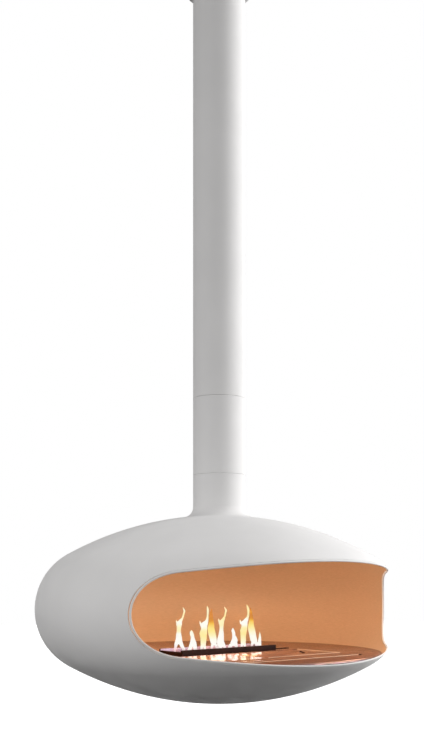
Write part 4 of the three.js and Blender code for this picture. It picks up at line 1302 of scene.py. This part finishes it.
    def hatch(self, low, bevel):
        edge = HINGE_Y - BARREL - HINGE_CLEARANCE
        outline = [(HATCH_LEFT, HATCH_FRONT), (HATCH_RIGHT, HATCH_FRONT), (HATCH_RIGHT, edge)]
        for start, end in hinge_tabs(0, True):
            outline += [(start, edge), (start, HINGE_Y), (end, HINGE_Y), (end, edge)]
        outline.append((HATCH_LEFT, edge))
        holes = [circle(x, y, FINGER_HOLE, 32, -1) for x, y in FINGER_HOLES]
        plate = sheet_metal(outline, holes, low, FLOOR_TOP, bevel)
        points, faces = merge(plate, *barrels(0))
        mesh = mesh_from("hatch_panel_fine", points, faces, HEARTH_LEVEL)
        place_piece("hatch_lid", mesh, "hatch", ["hatch_panel"], ["floor gloss"])


class FIREPLACE_OT_burner(FireplaceOperator, bpy.types.Operator):
    """Makes the burner's raised frame: brown bars in front and behind; the ends and the bars' inner
    faces are heated steel whose rose tint is partly painted flame light
    """

    bl_idname = "fireplace.burner"
    bl_label = "Burner Frame"

    def execute(self, context):
        bevel = settings().sizes.bar_bevel / MM
        low = FLOOR_TOP + SEAT_GAP
        left, right = BURNER_X - BURNER_HALF_LENGTH, BURNER_X + BURNER_HALF_LENGTH
        shapes, fronts = [], []
        for side in (-1, 1):
            outer = BURNER_Y + side * BURNER_HALF_WIDTH
            inner = outer - side * BAR_WIDTH
            outline = rectangle(left, right, min(outer, inner), max(outer, inner))
            bar = sheet_metal(outline, [], low, low + BAR_HEIGHT, bevel, 3)
            shapes.append(bar)
            for face in bar[1]:
                ys = [bar[0][corner][1] for corner in face]
                # The bars' inner faces take the heated steel, whose rose tint is partly painted
                # flame light.
                fronts.append(1 if max(abs(y - inner) for y in ys) < bevel * 0.6 else 0)
        lap = BAR_WIDTH * 0.25
        for side in (-1, 1):
            outer = BURNER_X + side * (BURNER_HALF_LENGTH - 0.05)
            inner = outer - side * (BAR_WIDTH - 0.1)
            outline = rectangle(
                min(outer, inner),
                max(outer, inner),
                BURNER_Y - BURNER_HALF_WIDTH + BAR_WIDTH - lap,
                BURNER_Y + BURNER_HALF_WIDTH - BAR_WIDTH + lap,
            )
            bar = sheet_metal(outline, [], low + 0.05, low + END_BAR_HEIGHT, bevel, 3)
            shapes.append(bar)
            fronts.extend([0] * len(bar[1]))
        points, faces = merge(*shapes)
        mesh = mesh_from("burner_frame_fine", points, faces, HEARTH_LEVEL, fronts=fronts)
        place_piece(
            "burner_bars", mesh, "hearth", ["burner_frame"],
            ["brown paint", "hot steel with painted flame glow"],
        ).visible_glossy = False
        return {"FINISHED"}


# Tongues of flame, each as (along the burner, above the floor, half width, warmth) from base to
# tip. Warmth picks the colour: violet at 0, white about 0.3, yellow about 0.6 and orange to 1.
TONGUES = [
    # flame 1
    [(-243, -3, 3.1, 0.05), (-242, 15, 3.5, 0.1), (-240, 23, 4.2, 0.16), (-238, 31, 5.8, 0.22),
     (-234, 41, 7.7, 0.27), (-229, 50, 8.1, 0.28)],
    [(-203, -3, 4.7, 0.1), (-204, 13, 5.4, 0.18), (-206, 21, 6.2, 0.24), (-212, 30, 7.4, 0.27),
     (-217, 40, 8.1, 0.28), (-222, 50, 8.9, 0.28)],
    [(-226, 36, 6.2, 0.25), (-227, 45, 12.7, 0.28), (-226, 56, 11.6, 0.3), (-226, 68, 9.7, 0.33),
     (-225, 79, 7.9, 0.52), (-224, 90, 8.3, 0.52), (-223, 102, 10.6, 0.42),
     (-223, 108, 10.4, 0.38), (-215, 116, 6.2, 0.45), (-208, 123, 3.7, 0.5),
     (-204, 133, 3.3, 0.55), (-201, 144, 3.3, 0.5), (-203, 149, 2.9, 0.45), (-208, 156, 1, 0.5)],
    [(-229, 98, 5.8, 0.4), (-231, 105, 4.2, 0.4), (-234, 110, 3.1, 0.45), (-236, 115, 1, 0.5)],
    # flame 2
    [(-184, -3, 6.2, 0.1), (-182, 12, 7.4, 0.2), (-178, 20, 7.4, 0.25), (-174, 27, 7.8, 0.28),
     (-170, 35, 8.6, 0.3)],
    [(-154, -3, 6.3, 0.1), (-154, 11, 6.7, 0.2), (-155, 19, 7.1, 0.25), (-157, 27, 7.8, 0.28),
     (-159, 35, 8.6, 0.3), (-163, 44, 7, 0.3)],
    [(-167, 27, 7.8, 0.26), (-165, 36, 12.9, 0.28), (-166, 47, 9.4, 0.3), (-167, 57, 6.8, 0.35),
     (-169, 65, 7.6, 0.4), (-171, 74, 6.1, 0.42), (-171, 80, 1.6, 0.48)],
    # flame 3
    [(-128, -3, 4.3, 0.1), (-128, 11, 4.7, 0.2), (-127, 21, 5.1, 0.3), (-124, 31, 6.7, 0.45),
     (-122, 41, 7.9, 0.55)],
    [(-113, -3, 4.3, 0.1), (-113, 10, 4.7, 0.2), (-114, 20, 5.1, 0.3), (-116, 30, 6.7, 0.45),
     (-118, 41, 7.9, 0.55)],
    [(-120, 24, 7.1, 0.4), (-120, 32, 10.3, 0.45), (-120, 49, 11.8, 0.58), (-121, 61, 13.4, 0.62),
     (-121, 68, 15, 0.6), (-119, 75, 13.8, 0.58), (-116, 84, 12, 0.45), (-117, 93, 13.4, 0.35),
     (-116, 98, 14.2, 0.32), (-111, 105, 10.7, 0.33), (-105, 110, 6.7, 0.4),
     (-101, 118, 4.2, 0.48), (-99, 130, 3.4, 0.5), (-98, 141, 4, 0.48), (-99, 150, 3.6, 0.5),
     (-102, 159, 1, 0.55)],
    [(-126, 93, 5.5, 0.35), (-129, 99, 4.7, 0.38), (-132, 104, 3.1, 0.45), (-134, 110, 1, 0.5)],
    # the orange flame behind it
    [(-83, -3, 3.6, 0.05), (-83, 10, 4, 0.1), (-82, 19, 4.4, 0.2), (-79, 29, 6.4, 0.3)],
    [(-57, -3, 4, 0.05), (-58, 9, 4.8, 0.12), (-61, 20, 5.6, 0.22), (-66, 29, 7.2, 0.3)],
    [(-73, 26, 6.4, 0.28), (-74, 35, 12.3, 0.3), (-78, 50, 13.9, 0.42), (-81, 62, 14.7, 0.55),
     (-83, 74, 14.3, 0.66), (-85, 85, 13.3, 0.7), (-84, 97, 11.3, 0.78), (-84, 106, 9.9, 0.87),
     (-84, 119, 8.3, 0.93), (-84, 132, 6.8, 0.94), (-83, 140, 4.8, 0.96), (-82, 149, 1.6, 0.97)],
    # flame 4
    [(-46, -3, 7.2, 0.1), (-46, 9, 8, 0.15), (-45, 19, 8.4, 0.25), (-45, 29, 9.6, 0.28)],
    [(-21, -3, 4, 0.1), (-23, 8, 4.8, 0.15), (-25, 18, 5.6, 0.22), (-30, 28, 6.8, 0.28),
     (-35, 37, 7.6, 0.3)],
    [(-40, 18, 8.8, 0.25), (-41, 28, 14.4, 0.28), (-43, 43, 13.6, 0.28), (-42, 55, 11.6, 0.3),
     (-41, 66, 9.8, 0.33), (-40, 78, 7.8, 0.42), (-39, 90, 8.2, 0.5), (-39, 99, 10, 0.52),
     (-39, 106, 10.8, 0.52), (-32, 112, 7.2, 0.55), (-27, 118, 4.8, 0.58), (-22, 125, 3.2, 0.6),
     (-19, 134, 3.2, 0.56), (-16, 142, 3.4, 0.52), (-18, 147, 3.2, 0.5), (-23, 154, 1, 0.5)],
    [(-44, 97, 5.2, 0.45), (-46, 104, 4.2, 0.45), (-49, 109, 3.2, 0.5), (-50, 115, 1, 0.5)],
    # flame 5
    [(-3, -3, 6.5, 0.1), (-2, 8, 7.3, 0.15), (1, 18, 8.1, 0.25), (7, 27, 8.5, 0.28)],
    [(30, -3, 5.3, 0.1), (30, 7, 5.7, 0.2), (29, 17, 6.1, 0.25), (26, 28, 7.7, 0.28),
     (23, 38, 7.7, 0.28)],
    [(15, 20, 9.7, 0.26), (18, 31, 13.8, 0.26), (21, 39, 12.6, 0.26), (20, 48, 9.3, 0.27),
     (17, 56, 6.5, 0.28), (16, 64, 6.5, 0.28), (13, 73, 5.9, 0.3), (13, 81, 1.6, 0.38)],
    # flame 6
    [(54, -3, 3.7, 0.05), (54, 9, 4.1, 0.12), (55, 19, 4.9, 0.25), (58, 28, 6.5, 0.4)],
    [(70, -3, 3.7, 0.05), (70, 8, 4.1, 0.12), (69, 18, 4.9, 0.25), (67, 28, 6.5, 0.4)],
    [(62, 21, 6.5, 0.4), (62, 30, 10.2, 0.45), (63, 39, 10.6, 0.5), (62, 51, 11.2, 0.58),
     (62, 64, 12.7, 0.62), (62, 72, 14.3, 0.6), (65, 80, 13.1, 0.58), (67, 89, 12.3, 0.42),
     (66, 99, 13.9, 0.3), (72, 106, 10.6, 0.32), (78, 113, 7, 0.42), (83, 119, 4.7, 0.5),
     (86, 128, 3.7, 0.55), (87, 140, 4.5, 0.56), (85, 151, 4.1, 0.58), (81, 160, 1, 0.6)],
    [(56, 93, 5.7, 0.35), (52, 99, 4.5, 0.38), (50, 104, 3.3, 0.45), (48, 109, 1, 0.5)],
    # the orange flame behind it
    [(103, -3, 3.7, 0.05), (103, 10, 4.5, 0.1), (104, 19, 5.4, 0.2), (108, 28, 7.4, 0.3)],
    [(132, -3, 8.3, 0.05), (131, 9, 9.1, 0.12), (129, 17, 9.1, 0.2), (122, 28, 9.1, 0.3)],
    [(116, 23, 9.9, 0.28), (114, 33, 14, 0.3), (109, 46, 14.2, 0.35), (105, 58, 14.2, 0.42),
     (101, 70, 14.4, 0.5), (99, 82, 13.2, 0.62), (99, 95, 10.5, 0.72), (100, 103, 9.1, 0.78),
     (100, 112, 7.8, 0.9), (100, 124, 6.6, 0.94), (99, 136, 5.3, 0.9), (98, 149, 1.6, 0.96)],
    # flame 7
    [(142, -3, 5.4, 0.1), (142, 7, 5.8, 0.2), (141, 17, 6.6, 0.28), (140, 28, 7, 0.3),
     (140, 34, 6.6, 0.32), (141, 44, 5, 0.36), (141, 54, 3.1, 0.42), (141, 63, 0.8, 0.5)],
]


def smooth_path(controls, steps):
    """Points along a smooth curve through the controls."""
    padded = [controls[0], *controls, controls[-1]]
    path = []
    for i in range(len(controls) - 1):
        p0, p1, p2, p3 = padded[i : i + 4]
        for k in range(steps):
            t = k / steps
            path.append(tuple(
                0.5 * (2 * b + (c - a) * t + (2 * a - 5 * b + 4 * c - d) * t * t
                       + (3 * b - a - 3 * c + d) * t**3)
                for a, b, c, d in zip(p0, p1, p2, p3)
            ))
    path.append(controls[-1])
    return path


def lean_at(height, sway):
    """How far a flame leans to the back or front at a height."""
    return math.sin(height / SWAY_LENGTH + sway) * SWAY_SHARE * height


def tongue(controls, depth, sway):
    """One closed tongue of flame round a wavy line, and the warmth of each of its points."""
    sides = 16
    path = smooth_path(controls, 5)
    points, faces, warmths = [], [], []
    foot_x, foot_height, _, foot_warmth = path[0]
    points.append((foot_x, BURNER_Y, FLOOR_TOP + foot_height))
    warmths.append(foot_warmth)
    for x, height, half_width, warmth in path:
        lean = lean_at(height, sway)
        for i in range(sides):
            angle = 2 * math.pi * i / sides
            ripple = 1.0 + RIPPLE * math.sin(3 * angle + height / RIPPLE_LENGTH + sway)
            points.append((
                x + half_width * ripple * math.cos(angle),
                BURNER_Y + lean + half_width * depth * ripple * math.sin(angle),
                FLOOR_TOP + height,
            ))
            warmths.append(warmth)
    tip_x, tip_height, _, tip_warmth = path[-1]
    points.append((tip_x, BURNER_Y + lean_at(tip_height, sway), FLOOR_TOP + tip_height + 1.5))
    warmths.append(tip_warmth)
    last = len(points) - 1
    top_ring = 1 + (len(path) - 1) * sides
    for i in range(sides):
        after = (i + 1) % sides
        faces.append([0, 1 + after, 1 + i])
        for ring in range(len(path) - 1):
            a, b = 1 + ring * sides, 1 + (ring + 1) * sides
            faces.append([a + i, a + after, b + after, b + i])
        faces.append([top_ring + i, top_ring + after, last])
    return points, faces, warmths


class FIREPLACE_OT_flames(FireplaceOperator, bpy.types.Operator):
    """Makes the row of flames that stand over the burner's windows"""

    bl_idname = "fireplace.flames"
    bl_label = "Flames"

    def execute(self, context):
        depth = settings().sizes.flame_depth
        shapes, warmths = [], []
        for number, controls in enumerate(TONGUES):
            points, faces, warmth = tongue(controls, depth, SWAY_STEP * number)
            shapes.append((points, faces))
            warmths.extend(warmth)
        points, faces = merge(*shapes)
        self.place("flames", points, faces, warmths, "flame")
        self.low_flames()
        return {"FINISHED"}

    def low_flames(self):
        """A low violet flicker along the whole burner."""
        points, faces, warmths = [], [], []
        sides, rings = 8, 90
        profile = [(-9, 0), (-8, 0.35), (-5, 0.8), (0, 1), (5, 0.8), (8, 0.35), (9, 0), (0, 0)]
        for ring in range(rings + 1):
            share = ring / rings
            x = LOW_FLAME_START + LOW_FLAME_LENGTH * share
            height = 22.0 + 4.0 * math.sin(31 * share) + 2.0 * math.sin(83 * share + 1)
            height *= min(1.0, 0.25 + 12 * share, 0.25 + 12 * (1 - share))
            for y, up in profile:
                points.append((x, BURNER_Y + y, DECK_TOP + 1.0 + up * (height + 3.0)))
                warmths.append(up)
        for ring in range(rings):
            for side in range(sides):
                after = (side + 1) % sides
                a, b = ring * sides, (ring + 1) * sides
                faces.append([a + side, b + side, b + after, a + after])
        faces.append(list(range(sides)))
        faces.append([rings * sides + side for side in range(sides)][::-1])
        self.place("low_flames", points, faces, warmths, "low flame")

    def place(self, name, points, faces, warmths, finish):
        mesh = bpy.data.meshes.new(name)
        mesh.from_pydata(
            [(x * MM, y * MM, (z + HEARTH_LEVEL) * MM) for x, y, z in points], [], faces
        )
        mesh.attributes.new("warmth", "FLOAT", "POINT").data.foreach_set("value", warmths)
        mesh.shade_smooth()
        piece = place_piece(name, mesh, "hearth", (), [finish])
        piece.visible_shadow = False


INNER_FINISHES = {
    "bare steel": [
        "ceiling_plate", "burner_tray", "guide_rail_front", "guide_rail_back",
        "fuel_tank", "tank_bracket_left", "tank_bracket_right",
    ],
    "turned steel": [
        "bearing_seat", "lower_race", "ball_cage", "upper_race", "swivel_spindle", "hatch_pin",
    ],
    # The deck and the floor ring take the heated steel, whose rose tint is partly painted flame
    # light.
    "hot steel with painted flame glow": ["burner_deck", "floor_ring"],
    "zinc plate": [
        "spindle_nut", *(f"anchor_bolt_{i}" for i in range(1, 5)),
        *(f"tube_screw_{i}" for i in range(1, 5)), *(f"flange_bolt_{i}" for i in range(1, 4)),
        *(f"neck_bolt_{i}" for i in range(1, 4)),
    ],
    "bronze": ["spindle_bush", "feed_pipe"],
    "brown paint": ["shutter", "shutter_tab", "filler_cap"],
    "ceramic fibre": ["ceramic_wick"],
    "seal rubber": ["cap_seal"],
}


class FIREPLACE_OT_inner_parts(FireplaceOperator, bpy.types.Operator):
    """Gives the fixings, the swivel bearing, the burner's inside and the tank their finishes"""

    bl_idname = "fireplace.inner_parts"
    bl_label = "Inner Parts"

    def execute(self, context):
        for finish, names in INNER_FINISHES.items():
            for name in names:
                mesh = nodes[name].data
                mesh.materials.clear()
                mesh.materials.append(finish_of(finish))
        return {"FINISHED"}


class FIREPLACE_OT_stage(FireplaceOperator, bpy.types.Operator):
    """Makes the room's floor, the background, the soft lights and the camera"""

    bl_idname = "fireplace.stage"
    bl_label = "Stage"

    def execute(self, context):
        studio = settings().studio
        self.floor(studio)
        self.background(studio)
        self.light("side light", (3.99, -2.24, -1.47), (1.6, 1.6), studio.side_power)
        self.light("high light", (2.78, -1.69, 1.30), (2.4, 2.4), studio.high_power)
        self.light("left light", (-4.46, -1.09, -1.63), (2.8, 2.2), studio.left_power)
        self.light("low light", (2.85, -3.55, -2.59), (2.0, 2.0), studio.low_power)
        self.fire_glow(studio)
        self.camera(studio)
        context.scene.view_settings.view_transform = "Standard"
        return {"FINISHED"}

    def light(self, name, place, size, power):
        lamp = bpy.data.lights.new(name, "AREA")
        lamp.shape = "RECTANGLE"
        lamp.size, lamp.size_y = size
        lamp.energy = power
        holder = bpy.data.objects.new(name, lamp)
        bpy.context.scene.collection.objects.link(holder)
        target = Vector((0, 0, HEARTH_LEVEL * MM + 0.15))
        holder.location = place
        holder.rotation_euler = (target - Vector(place)).to_track_quat("-Z", "Y").to_euler()

    def fire_glow(self, studio):
        """The fire's warm light on the liner; mirrors show the flames instead of it."""
        lamp = bpy.data.lights.new("fire glow", "POINT")
        lamp.shadow_soft_size = 0.09
        lamp.energy = studio.glow_power
        lamp.color = (1.0, 0.86, 0.68)
        holder = bpy.data.objects.new("fire glow", lamp)
        bpy.context.scene.collection.objects.link(holder)
        holder.location = (-0.13, BURNER_Y * MM + 0.03, HEARTH_LEVEL * MM + 0.13)
        holder.visible_glossy = False

    def seen_white(self, tree, lit):
        """White to the camera, to mirrors and through glass; lit is what all else sees."""
        path = add_node(tree, "ShaderNodeLightPath")
        seen = math_node(
            tree, "MAXIMUM", path.outputs["Is Camera Ray"], path.outputs["Is Glossy Ray"]
        )
        seen = math_node(tree, "MAXIMUM", seen, path.outputs["Is Transmission Ray"])
        choice = add_node(tree, "ShaderNodeMixShader")
        tree.links.new(seen, choice.inputs[0])
        tree.links.new(lit, choice.inputs[1])
        return choice

    def floor(self, studio):
        mesh = bpy.data.meshes.new("room_floor")
        reach = 14.0
        level = studio.floor_level
        corners = [
            (-reach, -reach, 0), (reach, -reach, 0), (reach, reach, 0), (-reach, reach, 0),
        ]
        mesh.from_pydata(corners, [], [(0, 1, 2, 3)])
        plane = bpy.data.objects.new("room_floor", mesh)
        plane.location.z = level
        bpy.context.scene.collection.objects.link(plane)
        material = bpy.data.materials.new("pale floor")
        material.use_nodes = True
        tree = material.node_tree
        tree.nodes.clear()
        dim = add_node(tree, "ShaderNodeBsdfDiffuse")
        dim.inputs["Color"].default_value = (0.05, 0.05, 0.05, 1)
        shadowed = add_node(tree, "ShaderNodeBsdfDiffuse")
        shadowed.inputs["Color"].default_value = (0.85, 0.85, 0.85, 1)
        place = add_node(tree, "ShaderNodeTexCoord").outputs["Object"]
        reach_out = add_node(tree, "ShaderNodeVectorMath", operation="LENGTH")
        tree.links.new(place, reach_out.inputs[0])
        whiter = add_node(tree, "ShaderNodeMapRange")
        tree.links.new(reach_out.outputs["Value"], whiter.inputs["Value"])
        for label, number in (
            ("From Min", 0.9), ("From Max", 2.0), ("To Min", 0.62), ("To Max", 1.0),
        ):
            whiter.inputs[label].default_value = number
        glow = add_node(tree, "ShaderNodeEmission")
        tree.links.new(whiter.outputs["Result"], glow.inputs["Strength"])
        both = add_node(tree, "ShaderNodeAddShader")
        tree.links.new(glow.outputs[0], both.inputs[0])
        tree.links.new(shadowed.outputs[0], both.inputs[1])
        choice = self.seen_white(tree, dim.outputs[0])
        tree.links.new(both.outputs[0], choice.inputs[2])
        output = add_node(tree, "ShaderNodeOutputMaterial")
        tree.links.new(choice.outputs[0], output.inputs[0])
        mesh.materials.append(material)

    def background(self, studio):
        world = bpy.data.worlds.new("white room")
        bpy.context.scene.world = world
        world.use_nodes = True
        tree = world.node_tree
        tree.nodes.clear()
        even = add_node(tree, "ShaderNodeBackground")
        even.inputs["Strength"].default_value = studio.room
        white = add_node(tree, "ShaderNodeBackground")
        white.inputs["Strength"].default_value = 1.0
        for shade in (even, white):
            shade.inputs["Color"].default_value = (1, 1, 1, 1)
        choice = self.seen_white(tree, even.outputs[0])
        tree.links.new(white.outputs[0], choice.inputs[2])
        output = add_node(tree, "ShaderNodeOutputWorld")
        tree.links.new(choice.outputs[0], output.inputs[0])

    def camera(self, studio):
        lens = bpy.data.cameras.new("camera")
        lens.sensor_fit = "VERTICAL"
        lens.sensor_height = 36.0
        lens.lens = studio.lens
        lens.shift_x, lens.shift_y = CAMERA_SHIFT
        lens.clip_start = 0.05
        lens.clip_end = 60.0
        holder = bpy.data.objects.new("camera", lens)
        bpy.context.scene.collection.objects.link(holder)
        holder.location = CAMERA_PLACE
        holder.rotation_euler = Vector(CAMERA_AHEAD).to_track_quat("-Z", "Y").to_euler()
        bpy.context.scene.camera = holder


STEPS = (
    "ceiling_rose", "tubes", "shell", "liner", "rim", "floor", "burner", "flames",
    "inner_parts", "stage",
)


class FIREPLACE_PT_panel(bpy.types.Panel):
    bl_idname = "FIREPLACE_PT_panel"
    bl_label = "Hanging Fireplace"
    bl_space_type = "VIEW_3D"
    bl_region_type = "UI"
    bl_category = "Fireplace"

    def draw(self, context):
        chosen = context.scene.fireplace
        for group in (chosen.sizes, chosen.finishes, chosen.studio):
            box = self.layout.box()
            for name in group.__annotations__:
                box.prop(group, name)
        for step in STEPS:
            self.layout.operator(f"fireplace.{step}")


CLASSES = (
    FireplaceSizes,
    FireplaceFinishes,
    FireplaceStudio,
    FireplaceSettings,
    FIREPLACE_OT_ceiling_rose,
    FIREPLACE_OT_tubes,
    FIREPLACE_OT_shell,
    FIREPLACE_OT_liner,
    FIREPLACE_OT_rim,
    FIREPLACE_OT_floor,
    FIREPLACE_OT_burner,
    FIREPLACE_OT_flames,
    FIREPLACE_OT_inner_parts,
    FIREPLACE_OT_stage,
    FIREPLACE_PT_panel,
)


def register():
    for item in CLASSES:
        bpy.utils.register_class(item)
    bpy.types.Scene.fireplace = PointerProperty(type=FireplaceSettings)


def unregister():
    del bpy.types.Scene.fireplace
    for item in reversed(CLASSES):
        bpy.utils.unregister_class(item)


def main():
    register()
    for step in STEPS:
        getattr(bpy.ops.fireplace, step)()


if __name__ == "__main__":
    main()
